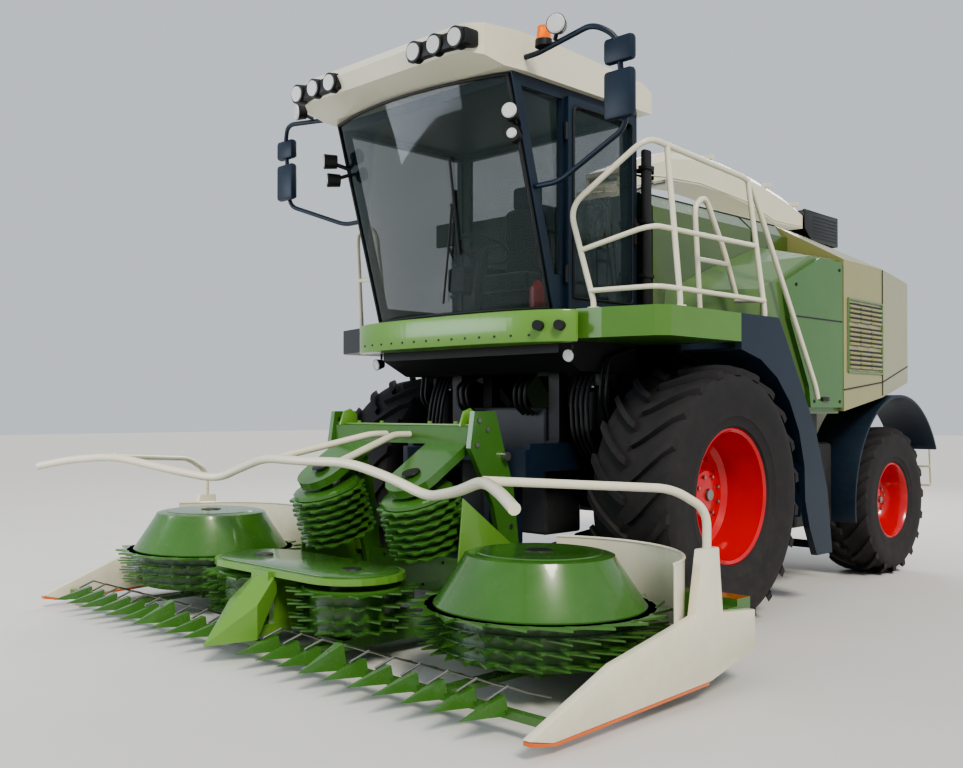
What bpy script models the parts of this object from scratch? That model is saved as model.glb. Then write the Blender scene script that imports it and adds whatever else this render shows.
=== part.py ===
"""Self-propelled forage harvester with a rotary maize header.

Metres, +Z up, +X the machine's left side, the machine faces -Y.
Every place below is given from the point on the ground under the middle of the front axle;
one empty then carries the whole machine so that its bounding box stands centred on the origin.
"""

import math

import bpy
import bmesh
from mathutils import Matrix, Vector

# ---------------------------------------------------------------- driving dimensions
SEAT = 0.0005                # gap between pieces that rest on each other

# wheels
FRONT_RADIUS = 0.925
FRONT_WIDTH = 0.65
FRONT_FACE = 1.68            # outer sidewall, from the centre line
FRONT_RIM = 0.4725
REAR_RADIUS = 0.686
REAR_WIDTH = 0.50
REAR_FACE = 1.41
REAR_RIM = 0.343
WHEELBASE = 3.337
WHEEL_STEPS = 32
KINGPIN_X = 0.74

# chassis
RAIL_X = 0.50
RAIL_WIDTH = 0.12
RAIL_LOW = 1.0803
RAIL_HIGH = 1.30
RAIL_FRONT = -0.60
RAIL_REAR = 4.0
HITCH_REAR = 4.12

# cab
CAB_HALF = 0.90
CAB_WALL = 0.05
CAB_LOW = 2.0503
CAB_HIGH = 3.74
CAB_FRONT_LOW = -1.02        # foot of the windscreen
CAB_FRONT_HIGH = -1.50       # head of the windscreen
CAB_REAR = -0.10
CAB_FLOOR_LOW = 1.80
ROOF_HALF = 0.95
ROOF_HIGH = 3.99
ROOF_FRONT = -1.93
ROOF_REAR = 0.02
DOOR_THICKNESS = 0.035
GLASS = 0.006
SCREEN_BULGE = 0.16
SILL = 2.26                  # foot and head of the side openings
HEAD = 3.66
DOOR_FRONT = -0.954
DOOR_REAR = -0.156
DOOR_LOW = 2.225
DOOR_HIGH = 3.68
DOOR_X = CAB_HALF + SEAT + DOOR_THICKNESS / 2

# decks beside the cab
DECK_HIGH = 2.21
DECK_DEPTH = 0.20
DECK_X = 1.65
DECK_FRONT = -0.88
DECK_REAR = 0.08
RAIL_TUBE = 0.02

# body
SHEET = 0.03
HOOD_HALF = 1.00
HOOD_LOW = 2.25
HOOD_HIGH = 3.16
HOOD_FRONT = -0.04
HOOD_REAR = 2.02
BODY_HALF = 1.455
BODY_LOW = 1.50
DOOR_EDGE = ((1.02, 2.53), (1.60, 2.765))    # y, z of the side door's hinge edge

# spout
SPOUT_Y = 0.75
SPOUT_HALF = 0.18
RING_HIGH = 3.30
SPOUT_HINGE = (0.75, 3.50)   # y, z
FLAP_HINGE = (3.98, 3.66)
FLAP_END = 4.76

# feeder and header
PIVOT = (-0.52, 1.19)        # y, z of the axis that lifts the header
CHOPPER_FRONT = -0.60
CHOPPER_REAR = -0.18
BEAM_REAR = -1.20
FEEDER_FRONT = BEAM_REAR + SEAT
RAM_X = 0.52
RAM_FOOT = (0.30, 0.62)
RAM_EYE = (-0.95, 0.50)
RAM_RADIUS = 0.045
RAM_ROD = 0.025
HEADER_HALF = 2.475
END_PLATE = 0.055
END_X = HEADER_HALF - END_PLATE    # inner face of the end plates
BEAM_HALF = END_X - 0.0003
BEAM_LOW = 0.22
TIP_Y = -3.24                # the middle divider's point
END_TIP_Y = -3.16
FINGER_TIP_Y = -3.22
FINGER_SPACING = 0.20
ROTOR_X = HEADER_HALF - 0.807
ROTOR_Y = -2.14
ROTOR_TOP = 0.745
ROTOR_TEETH = 0.72
INNER_X = 0.462
INNER_Y = -2.481
INNER_TEETH = 0.41
INNER_COVER = 0.50
GEARBOX_TOP = 0.16
DRUM_X = 0.472
DRUM_TOP = (-1.95, 1.0)      # y, z of the drum axis at its cap
DRUM_TILT = math.radians(20)
DRUM_RADIUS = 0.28
PUSHER_TUBE = 0.03

# The bounding box runs from the middle divider's point to the spout flap's end.
FRONT_AXLE_Y = -(TIP_Y + FLAP_END) / 2

# ---------------------------------------------------------------- scene and materials
for old in list(bpy.data.objects):
    bpy.data.objects.remove(old, do_unlink=True)

MACHINE = bpy.data.collections.new("forage_harvester")
CUTTERS = bpy.data.collections.new("cutters")
for collection in (MACHINE, CUTTERS):
    bpy.context.scene.collection.children.link(collection)


def paint(name, colour, roughness, metallic=0.0):
    made = bpy.data.materials.new(name)
    made.use_nodes = True
    shader = made.node_tree.nodes["Principled BSDF"]
    shader.inputs["Base Color"].default_value = (*colour, 1.0)
    shader.inputs["Roughness"].default_value = roughness
    shader.inputs["Metallic"].default_value = metallic
    return made


GREEN = paint("green_enamel", (0.105, 0.258, 0.048), 0.25)
OLIVE = paint("olive_enamel", (0.090, 0.150, 0.035), 0.35)
SAND = paint("sand_green_enamel", (0.300, 0.330, 0.150), 0.40)
CREAM = paint("cream_enamel", (0.800, 0.760, 0.600), 0.35)
NAVY = paint("navy_plastic", (0.006, 0.018, 0.040), 0.45)
BLACK = paint("black_steel", (0.012, 0.012, 0.014), 0.50)
RED = paint("red_enamel", (0.620, 0.006, 0.010), 0.25)
RUBBER = paint("tyre_rubber", (0.022, 0.021, 0.023), 0.85)
STEEL = paint("bright_steel", (0.450, 0.450, 0.460), 0.35, 1.0)
TRIM = paint("cab_trim", (0.030, 0.032, 0.036), 0.70)
GLAZING = paint("tinted_glass", (0.080, 0.200, 0.180), 0.05)

ORIGIN = bpy.data.objects.new("machine", None)
ORIGIN.location = (0, FRONT_AXLE_Y, 0)
MACHINE.objects.link(ORIGIN)


def joint_empty(name, location, parent=None):
    """An empty on a joint's axis; what rides on it keeps the machine's coordinates."""
    empty = bpy.data.objects.new(name, None)
    MACHINE.objects.link(empty)
    empty["at"] = location
    empty.location = location
    carry(empty, parent)
    return empty


def carry(thing, parent=None):
    """Parent a thing whose location is given in the machine's coordinates."""
    thing.parent = parent or ORIGIN
    if parent:
        thing.matrix_parent_inverse = Matrix.Translation(-Vector(parent["at"]))


def link(name, data, material):
    made = bpy.data.objects.new(name, data)
    MACHINE.objects.link(made)
    made.data.materials.append(material)
    return made


# ---------------------------------------------------------------- shapes
def box(name, low, high, material, bevel=0.0):
    mesh = bpy.data.meshes.new(name)
    shape = bmesh.new()
    bmesh.ops.create_cube(shape, size=1.0)
    size = [b - a for a, b in zip(low, high)]
    bmesh.ops.scale(shape, vec=size, verts=shape.verts)
    shape.to_mesh(mesh)
    shape.free()
    made = link(name, mesh, material)
    made.location = [(a + b) / 2 for a, b in zip(low, high)]
    if bevel:
        edge = made.modifiers.new("edges", "BEVEL")
        edge.width = bevel
        edge.segments = 2
    return made


def rod(name, start, end, radius, material, sides=20, end_radius=None):
    """A cylinder or a cone frustum from start to end."""
    start, end = Vector(start), Vector(end)
    mesh = bpy.data.meshes.new(name)
    shape = bmesh.new()
    bmesh.ops.create_cone(
        shape,
        cap_ends=True,
        segments=sides,
        radius1=radius,
        radius2=radius if end_radius is None else end_radius,
        depth=(end - start).length,
    )
    shape.to_mesh(mesh)
    shape.free()
    made = link(name, mesh, material)
    made.location = (start + end) / 2
    made.rotation_euler = (end - start).to_track_quat("Z", "Y").to_euler()
    return made


def as_mesh(curve):
    """The curve's evaluated shape as a welded mesh object in the same place."""
    bpy.context.view_layer.update()
    graph = bpy.context.evaluated_depsgraph_get()
    mesh = bpy.data.meshes.new_from_object(curve.evaluated_get(graph))
    shape = bmesh.new()
    shape.from_mesh(mesh)
    bmesh.ops.remove_doubles(shape, verts=shape.verts, dist=0.00001)
    shape.to_mesh(mesh)
    shape.free()
    name = curve.name
    made = bpy.data.objects.new(name + "_mesh", mesh)
    MACHINE.objects.link(made)
    made.matrix_world = curve.matrix_world
    bpy.data.objects.remove(curve, do_unlink=True)
    made.name = name
    return made


def rounded(points, radius, steps=3):
    """A polyline with an arc of about this radius in place of each inner corner."""
    points = [Vector(p) for p in points]
    path = [points[0]]
    for before, corner, after in zip(points, points[1:], points[2:]):
        back, ahead = (before - corner), (after - corner)
        reach = min(radius, back.length * 0.45, ahead.length * 0.45)
        start = corner + back.normalized() * reach
        end = corner + ahead.normalized() * reach
        for step in range(steps + 1):
            t = step / steps
            path.append(start * (1 - t) ** 2 + corner * 2 * t * (1 - t) + end * t**2)
    return path + [points[-1]]


def tube(name, points, radius, material, bend=0.0, sides=1):
    path = rounded(points, bend) if bend else [Vector(p) for p in points]
    curve = bpy.data.curves.new(name, "CURVE")
    curve.dimensions = "3D"
    spline = curve.splines.new("POLY")
    spline.points.add(len(path) - 1)
    for point, place in zip(spline.points, path):
        point.co = (*place, 1.0)
    curve.bevel_depth = radius
    curve.bevel_resolution = sides
    curve.use_fill_caps = True
    return as_mesh(link(name, curve, material))


# For an outline drawn in a plane: where its own x, y and normal point.
PLANES = {
    "xy": Matrix(((1, 0, 0), (0, 1, 0), (0, 0, 1))),
    "yz": Matrix(((0, 0, 1), (1, 0, 0), (0, 1, 0))),
    "xz": Matrix(((1, 0, 0), (0, 0, -1), (0, 1, 0))),
}


def plate(name, outline, plane, low, high, material):
    """A flat outline in a plane, as thick as from low to high along the plane's normal."""
    curve = bpy.data.curves.new(name, "CURVE")
    curve.dimensions = "2D"
    curve.fill_mode = "BOTH"
    curve.extrude = (high - low) / 2
    spline = curve.splines.new("POLY")
    spline.points.add(len(outline) - 1)
    for point, (a, b) in zip(spline.points, outline):
        point.co = (a, b, 0.0, 1.0)
    spline.use_cyclic_u = True
    made = link(name, curve, material)
    turn = PLANES[plane]
    made.rotation_euler = turn.to_euler()
    sign = -1 if plane == "xz" else 1
    made.location = turn @ Vector((0, 0, sign * (low + high) / 2))
    return as_mesh(made)


def turned(name, profile, steps, material, start=0.0):
    """A profile of (radius, height) points turned about local Z.

    It runs down the outer side; when its ends are off the axis it is a closed ring.
    """
    mesh = bpy.data.meshes.new(name)
    points = [(r * math.cos(start), r * math.sin(start), z) for r, z in profile]
    edges = [(i, i + 1) for i in range(len(points) - 1)]
    if profile[0][0] > 0:
        edges.append((len(points) - 1, 0))
    mesh.from_pydata(points, edges, [])
    made = link(name, mesh, material)
    screw = made.modifiers.new("turn", "SCREW")
    screw.steps = screw.render_steps = steps
    screw.use_merge_vertices = True
    screw.merge_threshold = 0.00001
    return made


def skin(name, rows, material, thickness=SHEET, offset=-1.0):
    """A sheet over rows of points, given its thickness on its inner side."""
    mesh = bpy.data.meshes.new(name)
    shape = bmesh.new()
    grid = [[shape.verts.new(p) for p in row] for row in rows]
    for near, far in zip(grid, grid[1:]):
        for i in range(len(near) - 1):
            shape.faces.new((near[i], near[i + 1], far[i + 1], far[i]))
    shape.to_mesh(mesh)
    shape.free()
    made = link(name, mesh, material)
    wall = made.modifiers.new("wall", "SOLIDIFY")
    wall.thickness = thickness
    wall.offset = offset
    return made


def hull(name, points, material):
    """The convex solid around a set of points."""
    mesh = bpy.data.meshes.new(name)
    shape = bmesh.new()
    for point in points:
        shape.verts.new(point)
    found = bmesh.ops.convex_hull(shape, input=shape.verts)
    loose = [v for v in shape.verts if not v.link_faces]
    bmesh.ops.delete(shape, geom=loose, context="VERTS")
    bmesh.ops.recalc_face_normals(shape, faces=shape.faces)
    shape.to_mesh(mesh)
    shape.free()
    return link(name, mesh, material)


def hide(thing):
    thing.hide_render = True
    thing.display_type = "WIRE"
    for owner in list(thing.users_collection):
        owner.objects.unlink(thing)
    CUTTERS.objects.link(thing)


def combine(base, others, operation):
    """A Boolean of a base with several hidden operands."""
    group = bpy.data.collections.new(f"{base.name}_{operation.lower()}")
    CUTTERS.children.link(group)
    for other in others:
        hide(other)
        CUTTERS.objects.unlink(other)
        group.objects.link(other)
        carry(other)
    work = base.modifiers.new(operation.lower(), "BOOLEAN")
    work.operation = operation
    work.operand_type = "COLLECTION"
    work.collection = group
    work.solver = "EXACT"
    return base


def unite(name, pieces):
    base = pieces[0]
    base.name = name
    return combine(base, pieces[1:], "UNION")


def cut(base, cutters):
    return combine(base, cutters, "DIFFERENCE")


def both(side_function):
    """Run a maker for the left side (+1) and the right side (-1)."""
    return [side_function(side, word) for side, word in ((1, "left"), (-1, "right"))]


def mirrored(points, side):
    return [(side * p[0], *p[1:]) for p in points]


def ordered(low, high, side):
    """A box's corners with x mirrored to the given side."""
    xs = sorted((side * low[0], side * high[0]))
    return (xs[0], *low[1:]), (xs[1], *high[1:])


def sided_box(name, low, high, side, material, bevel=0.0):
    return box(name, *ordered(low, high, side), material, bevel)


def sided_plate(name, outline, side, low, high, material):
    """A plate in the YZ plane between two distances from the centre line."""
    near, far = sorted((side * low, side * high))
    return plate(name, outline, "yz", near, far, material)


# ---------------------------------------------------------------- wheels and axles
def wheel(prefix, side, centre, radius, width, rim_radius, parent):
    """A tyre and its dished rim, with a flat under the tyre where it stands."""
    half_step = math.pi / WHEEL_STEPS
    grow = 1 / math.cos(half_step)
    half = width / 2
    bead = rim_radius + SEAT
    rise = radius - rim_radius
    tyre_profile = [
        (bead, half * 0.78),
        (rim_radius + rise * 0.32, half * 0.97),
        (rim_radius + rise * 0.72, half),
        (rim_radius + rise * 0.93, half * 0.92),
        (radius, half * 0.66),
    ]
    tyre_profile += [(r, -z) for r, z in reversed(tyre_profile)]
    lip = half * 0.80
    dish = -half * 0.30
    rim_profile = [
        (0.0, dish + 0.05),
        (rim_radius * 0.34, dish + 0.05),
        (rim_radius * 0.40, dish + 0.02),
        (rim_radius * 0.78, dish + 0.06),
        (rim_radius * 0.90, half * 0.30),
        (rim_radius * 0.93, lip),
        (rim_radius, lip),
        (rim_radius, -lip),
        (rim_radius * 0.93, -lip),
        (rim_radius * 0.90, dish - 0.06),
        (rim_radius * 0.50, dish - 0.04),
        (0.0, dish - 0.04),
    ]
    made = []
    for word, profile, material in (
        ("tyre", tyre_profile, RUBBER),
        ("rim", rim_profile, RED),
    ):
        grown = [(r * grow, z) for r, z in profile]
        piece = turned(f"{word}_{prefix}", grown, WHEEL_STEPS, material, half_step)
        piece.rotation_euler = (0, side * math.pi / 2, 0)
        piece.location = centre
        carry(piece, parent)
        made.append(piece)
    return made


FRONT_X = FRONT_FACE - FRONT_WIDTH / 2
REAR_X = REAR_FACE - REAR_WIDTH / 2
# The inner face of each rim's disc, where its hub flange meets it.
FRONT_HUB = FRONT_X - FRONT_WIDTH / 2 * 0.30 - 0.04
REAR_HUB = REAR_X - REAR_WIDTH / 2 * 0.30 - 0.04


def running_gear():
    beam = box("front_axle", (-0.95, -0.16, 0.80), (0.95, 0.16, RAIL_LOW - SEAT), BLACK)
    pieces = [beam]
    for side in (1, -1):
        for near, far, radius in ((0.90, 1.02, 0.30), (1.00, FRONT_HUB - SEAT, 0.20)):
            pieces.append(
                rod(
                    "final_drive",
                    (side * near, 0, FRONT_RADIUS),
                    (side * far, 0, FRONT_RADIUS),
                    radius,
                    BLACK,
                    24,
                )
            )
    carry(unite("front_axle", pieces))

    beam = box(
        "rear_axle",
        (-0.66, WHEELBASE - 0.09, 0.60),
        (0.66, WHEELBASE + 0.09, 0.77 - SEAT),
        BLACK,
    )
    pieces = [beam]
    for side in (1, -1):
        pieces.append(
            rod(
                "kingpin_eye",
                (side * KINGPIN_X, WHEELBASE, 0.60),
                (side * KINGPIN_X, WHEELBASE, 0.77),
                0.055,
                BLACK,
                20,
            )
        )
        low, high = ordered((0.62, WHEELBASE - 0.05, 0.60), (KINGPIN_X, WHEELBASE + 0.05, 0.77), side)
        pieces.append(box("axle_end", low, high, BLACK))
    carry(unite("rear_axle", pieces))

    for side, word in ((1, "left"), (-1, "right")):
        spin = joint_empty(f"wheel_front_{word}_axis", (side * FRONT_X, 0, FRONT_RADIUS))
        wheel(
            f"front_{word}", side, spin["at"], FRONT_RADIUS, FRONT_WIDTH, FRONT_RIM, spin
        )
        steer = joint_empty(f"steer_{word}_axis", (side * KINGPIN_X, WHEELBASE, REAR_RADIUS))
        knuckle(side, word, steer)
        spin = joint_empty(
            f"wheel_rear_{word}_axis", (side * REAR_X, WHEELBASE, REAR_RADIUS), steer
        )
        wheel(f"rear_{word}", side, spin["at"], REAR_RADIUS, REAR_WIDTH, REAR_RIM, spin)


def knuckle(side, word, parent):
    """A fork round the axle's end that carries the rear wheel's hub."""
    wall = sided_box(
        f"knuckle_{word}",
        (0.805, WHEELBASE - 0.09, 0.50),
        (0.86, WHEELBASE + 0.09, 0.87),
        side,
        BLACK,
    )
    pieces = [wall]
    for low, high in ((0.50, 0.60 - SEAT), (0.77 + SEAT, 0.81)):
        pieces.append(
            sided_box(
                "fork_ear",
                (0.68, WHEELBASE - 0.06, low),
                (0.83, WHEELBASE + 0.06, high),
                side,
                BLACK,
            )
        )
    pieces.append(
        rod(
            "stub",
            (side * 0.83, WHEELBASE, REAR_RADIUS),
            (side * (REAR_HUB - SEAT), WHEELBASE, REAR_RADIUS),
            0.09,
            BLACK,
            24,
        )
    )
    carry(unite(f"knuckle_{word}", pieces), parent)


# ---------------------------------------------------------------- chassis
def chassis():
    pieces = []
    inner, outer = RAIL_X - RAIL_WIDTH / 2, RAIL_X + RAIL_WIDTH / 2
    for side in (1, -1):
        low, high = (inner, RAIL_FRONT, RAIL_LOW), (outer, RAIL_REAR, RAIL_HIGH)
        pieces.append(sided_box("chassis_frame", low, high, side, BLACK))
        # Posts under the cab.
        for near, far, top in (
            (-0.58, -0.48, CAB_FLOOR_LOW - SEAT),
            (-0.22, -0.12, CAB_FLOOR_LOW - SEAT),
        ):
            low, high = (inner + 0.01, near, RAIL_HIGH - 0.05), (outer - 0.01, far, top)
            pieces.append(sided_box("post", low, high, side, BLACK))
        # The bearing the feeder's arms turn on, and the bracket that holds a ram's foot.
        pieces.append(
            rod(
                "trunnion",
                (side * (outer - 0.02), *PIVOT),
                (side * (outer + 0.01), *PIVOT),
                0.09,
                BLACK,
                24,
            )
        )
        foot_y, foot_z = RAM_FOOT
        for near, far in (
            (inner, RAM_X - RAM_RADIUS - SEAT),
            (RAM_X + RAM_RADIUS + SEAT, RAM_X + RAM_RADIUS + 0.035),
        ):
            low = (near, foot_y - 0.08, foot_z - 0.07)
            high = (far, foot_y + 0.08, RAIL_LOW + 0.01)
            pieces.append(sided_box("ram_cheek", low, high, side, BLACK))
        low = (inner, foot_y - 0.08, RAIL_LOW - 0.06)
        high = (RAM_X + RAM_RADIUS + 0.035, foot_y + 0.08, RAIL_LOW + 0.01)
        pieces.append(sided_box("ram_bracket", low, high, side, BLACK))
        # The outrigger under the pod, with its upstand.
        low, high = (outer - 0.02, 1.60, 1.15), (1.40, 1.74, RAIL_HIGH - 0.01)
        pieces.append(sided_box("outrigger", low, high, side, BLACK))
        low, high = (1.28, 1.60, 1.20), (1.40, 1.74, BODY_LOW - SEAT)
        pieces.append(sided_box("upstand", low, high, side, BLACK))
        tank = sided_box(
            "side_tank", (outer - 0.01, 1.56, 0.55), (1.30, 2.25, 1.25), side, BLACK, 0.04
        )
        pieces.append(tank)
    # Cross members between the rails, the rear axle's bracket and the body's outrigger.
    for near, far, low, high in (
        (0.65, 0.85, 1.10, 1.29),
        (1.62, 1.72, 1.10, 1.29),
        (3.90, 4.0, 1.10, 1.29),
    ):
        pieces.append(box("cross", (-inner - 0.01, near, low), (inner + 0.01, far, high), BLACK))
    pieces.append(
        box(
            "axle_bracket",
            (-(inner + 0.01), WHEELBASE - 0.085, 0.77),
            (inner + 0.01, WHEELBASE + 0.085, 1.29),
            BLACK,
        )
    )
    pieces.append(box("hitch", (-0.15, RAIL_REAR - 0.05, 0.95), (0.15, HITCH_REAR, 1.28), BLACK))
    carry(unite("chassis_frame", pieces))

    carry(box("engine_block", (-0.70, 1.12, RAIL_HIGH + SEAT), (0.70, 1.98, 2.30), BLACK))


def crop_line():
    """The chopper housing between the front wheels and the duct up to the spout's ring."""
    inner = RAIL_X - RAIL_WIDTH / 2
    low, high = (-(inner - SEAT), CHOPPER_FRONT, 0.60), (inner - SEAT, CHOPPER_REAR, 1.55)
    carry(box("chopper_housing", low, high, BLACK, 0.02))
    low, high = (-0.22, 0.48, RAIL_HIGH + SEAT), (0.22, 1.02, RING_HIGH)
    carry(box("crop_tower", low, high, BLACK))


# ---------------------------------------------------------------- cab
def pillar_y(z, back=0.0):
    """The windscreen's plane, moved back by some distance, at a height."""
    share = (z - CAB_LOW) / (CAB_HIGH - CAB_LOW)
    return CAB_FRONT_LOW + share * (CAB_FRONT_HIGH - CAB_FRONT_LOW) + back


def cab_outline(grow_front, rear, low, high):
    return [
        (pillar_y(low, grow_front), low),
        (rear, low),
        (rear, high),
        (pillar_y(high, grow_front), high),
    ]


def cab():
    floor = plate(
        "cab_floor",
        [
            (CAB_REAR, CAB_FLOOR_LOW),
            (CAB_REAR, CAB_LOW - SEAT),
            (CAB_FRONT_LOW, CAB_LOW - SEAT),
            (CAB_FRONT_LOW, CAB_FLOOR_LOW + 0.12),
            (CAB_FRONT_LOW + 0.25, CAB_FLOOR_LOW),
        ],
        "yz",
        -CAB_HALF,
        CAB_HALF,
        BLACK,
    )
    carry(floor)

    outline = cab_outline(0.0, CAB_REAR, CAB_LOW, CAB_HIGH)
    frame = plate("cab_frame", outline, "yz", -CAB_HALF, CAB_HALF, NAVY)
    inside = CAB_HALF - CAB_WALL
    outline = cab_outline(CAB_WALL, CAB_REAR - CAB_WALL, CAB_LOW + 0.03, CAB_HIGH - 0.03)
    room = plate("cab_room", outline, "yz", -inside, inside, NAVY)
    screen = box("screen_hole", (-0.84, -1.8, DECK_HIGH), (0.84, DOOR_FRONT - 0.03, HEAD + 0.02), NAVY)
    low, high = (0.7, DOOR_FRONT + 0.02, SILL), (1.1, DOOR_REAR - 0.02, HEAD - 0.02)
    doorway = box("doorway", low, high, NAVY)
    quarter = [(pillar_y(2.45, 0.07), 2.45), (DOOR_FRONT - 0.025, 2.45)]
    quarter += [(DOOR_FRONT - 0.025, HEAD), (pillar_y(HEAD, 0.07), HEAD)]
    front_quarter = plate("front_quarter", quarter, "yz", 0.7, 1.1, NAVY)
    outline = cab_outline(0.085, CAB_REAR - 0.07, SILL + 0.08, HEAD)
    right_window = plate("right_window", outline, "yz", -1.1, -0.7, NAVY)
    low, high = (-0.78, CAB_REAR - 0.2, 2.75), (0.78, CAB_REAR + 0.2, HEAD)
    back = box("back_hole", low, high, NAVY)
    carry(cut(frame, [room, screen, doorway, front_quarter, right_window, back]))

    rows = []
    for z in (DECK_HIGH + 0.005, CAB_HIGH - 0.005):
        half = CAB_HALF - 0.02
        row = []
        for step in range(13):
            x = -half + 2 * half * step / 12
            y = pillar_y(z) - 2 * SEAT - SCREEN_BULGE * (1 - (x / half) ** 2)
            row.append((x, y, z))
        rows.append(row)
    carry(skin("windscreen", rows, GLAZING, GLASS, 1.0))

    front = ROOF_FRONT
    outline = [(ROOF_REAR, CAB_HIGH + SEAT), (ROOF_REAR, 3.90), (-0.10, 3.95), (-1.00, ROOF_HIGH)]
    outline += [(-1.50, ROOF_HIGH), (front + 0.06, 3.975), (front, 3.90), (front + 0.05, 3.80)]
    outline += [(-1.60, CAB_HIGH + SEAT)]
    roof = plate("cab_roof", outline, "yz", -ROOF_HALF, ROOF_HALF, CREAM)
    corners = []
    for side in (1, -1):
        outline = [
            (ROOF_HALF + 0.1, -1.45),
            (ROOF_HALF, -1.45),
            (ROOF_HALF - 0.04, front + 0.16),
            (ROOF_HALF - 0.12, front + 0.07),
            (0.45, front),
            (0.45, front - 0.2),
            (ROOF_HALF + 0.1, front - 0.2),
        ]
        corners.append(plate("roof_corner", mirrored(outline, side), "xy", 3.6, 4.1, CREAM))
    carry(cut(roof, corners))

    swing = joint_empty("cab_door_axis", (DOOR_X, DOOR_FRONT, DOOR_LOW))
    low = (CAB_HALF + SEAT, DOOR_FRONT, DOOR_LOW)
    high = (CAB_HALF + SEAT + DOOR_THICKNESS, DOOR_REAR, DOOR_HIGH)
    door = box("cab_door", low, high, NAVY)
    low, high = (0.7, DOOR_FRONT + 0.06, DOOR_LOW + 0.08), (1.1, DOOR_REAR - 0.06, DOOR_HIGH - 0.06)
    carry(cut(door, [box("door_hole", low, high, NAVY)]), swing)


def cab_inside():
    floor = CAB_LOW + 0.03 + SEAT
    low, high = (-0.26, -0.62, 2.44), (0.26, -0.20, 2.58)
    seat = [box("driver_seat", low, high, TRIM, 0.03)]
    seat.append(box("back_rest", (-0.25, -0.32, 2.50), (0.25, -0.18, 3.15), TRIM, 0.03))
    seat.append(box("seat_base", (-0.17, -0.56, floor), (0.17, -0.26, 2.46), BLACK))
    seat.append(box("console", (-0.50, -0.70, 2.46), (-0.31, -0.22, 2.66), TRIM, 0.02))
    seat.append(box("console_arm", (-0.42, -0.50, 2.28), (-0.10, -0.36, 2.50), BLACK))
    carry(unite("driver_seat", seat))

    centre = Vector((0.0, -0.80, 2.75))
    lean = Vector((0.0, 0.42, 0.90)).normalized()
    across = lean.cross(Vector((1, 0, 0)))
    curve = bpy.data.curves.new("steering_ring", "CURVE")
    curve.dimensions = "3D"
    spline = curve.splines.new("POLY")
    spline.points.add(19)
    for k, point in enumerate(spline.points):
        angle = 2 * math.pi * k / 20
        place = centre + (Vector((math.cos(angle), 0, 0)) + across * math.sin(angle)) * 0.20
        point.co = (*place, 1.0)
    spline.use_cyclic_u = True
    curve.bevel_depth = 0.015
    curve.bevel_resolution = 1
    rim = as_mesh(link("steering_ring", curve, TRIM))
    foot = Vector((0.0, -0.93, floor + 0.03))
    column = rod("column_tube", foot, centre - lean * 0.01, 0.045, TRIM, 12)
    base = box("column_foot", (-0.09, -0.952, floor), (0.09, -0.84, floor + 0.08), TRIM)
    bar = Vector((0.19, 0, 0))
    spoke = tube("spoke", [centre - bar, centre + bar], 0.016, TRIM)
    carry(unite("steering_column", [base, column, spoke, rim]))


# ---------------------------------------------------------------- decks, rails and ladder
def deck(side, word):
    inner = CAB_HALF + SEAT
    low = DECK_HIGH - DECK_DEPTH
    outline = [(inner, -1.02), (1.23, -0.98), (DECK_X - 0.07, DECK_FRONT), (DECK_X, DECK_FRONT + 0.08)]
    outline += [(DECK_X, DECK_REAR), (HOOD_HALF + SEAT, DECK_REAR), (HOOD_HALF + SEAT, HOOD_FRONT)]
    outline += [(inner, HOOD_FRONT)]
    carry(plate(f"deck_{word}", mirrored(outline, side), "xy", low, DECK_HIGH, GREEN))


def bumper():
    rear = pillar_y(DECK_HIGH - 0.01) - 2 * SEAT
    half = [(0.0, -1.34), (0.45, -1.32), (0.85, -1.24), (1.06, -1.12), (1.10, rear)]
    outline = half + [(-x, y) for x, y in reversed(half[1:])]
    carry(plate("front_bumper", outline, "xy", 1.98, DECK_HIGH - 0.01, GREEN))


def left_railing():
    r = RAIL_TUBE
    z0, z1 = DECK_HIGH + SEAT, DECK_HIGH + 0.05
    top = [(1.12, -0.92, z0), (1.12, -0.92, z1), (1.02, -1.05, 2.89), (1.50, -0.85, 3.31)]
    top += [(1.50, 0.47, 3.23), (1.60, 1.30, 1.72), (1.60, 1.34, 1.62)]
    pieces = [tube("railing_left", top, r, CREAM, 0.10)]
    low = [(1.104, -0.941, 2.33), (1.58, -0.86, 2.33), (1.60, -0.62, 2.33), (1.60, 0.50, 2.33)]
    pieces.append(tube("low_rail", low, r, CREAM, 0.06))
    middle = [(1.064, -0.992, 2.60), (1.54, -0.86, 2.73), (1.55, 0.47, 2.735)]
    pieces.append(tube("mid_rail", middle, r, CREAM, 0.10))
    post = [(1.60, -0.62, z0), (1.60, -0.62, z1), (1.50, -0.62, 3.31)]
    pieces.append(tube("post_front", post, r, CREAM))
    post = [(1.60, 0.50, z0), (1.60, 0.50, z1), (1.50, 0.44, 3.23)]
    pieces.append(tube("post_rear", post, r, CREAM))
    # The hoop beside the ladder's head, tied to the low rail.
    hoop = [(1.40, -0.05, z0), (1.40, -0.05, z1), (1.40, -0.12, 2.98), (1.40, 0.02, 3.06)]
    hoop += [(1.40, 0.30, 2.66), (1.40, 0.47, 2.33)]
    pieces.append(tube("hoop", hoop, r, CREAM, 0.08))
    bar = [(1.40, -0.086, 2.60), (1.40, 0.33, 2.60)]
    pieces.append(tube("hoop_bar", bar, r * 0.9, CREAM))
    pieces.append(tube("hoop_tie", [(1.39, 0.455, 2.345), (1.60, 0.455, 2.33)], r * 0.9, CREAM))
    carry(unite("railing_left", pieces))


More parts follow.
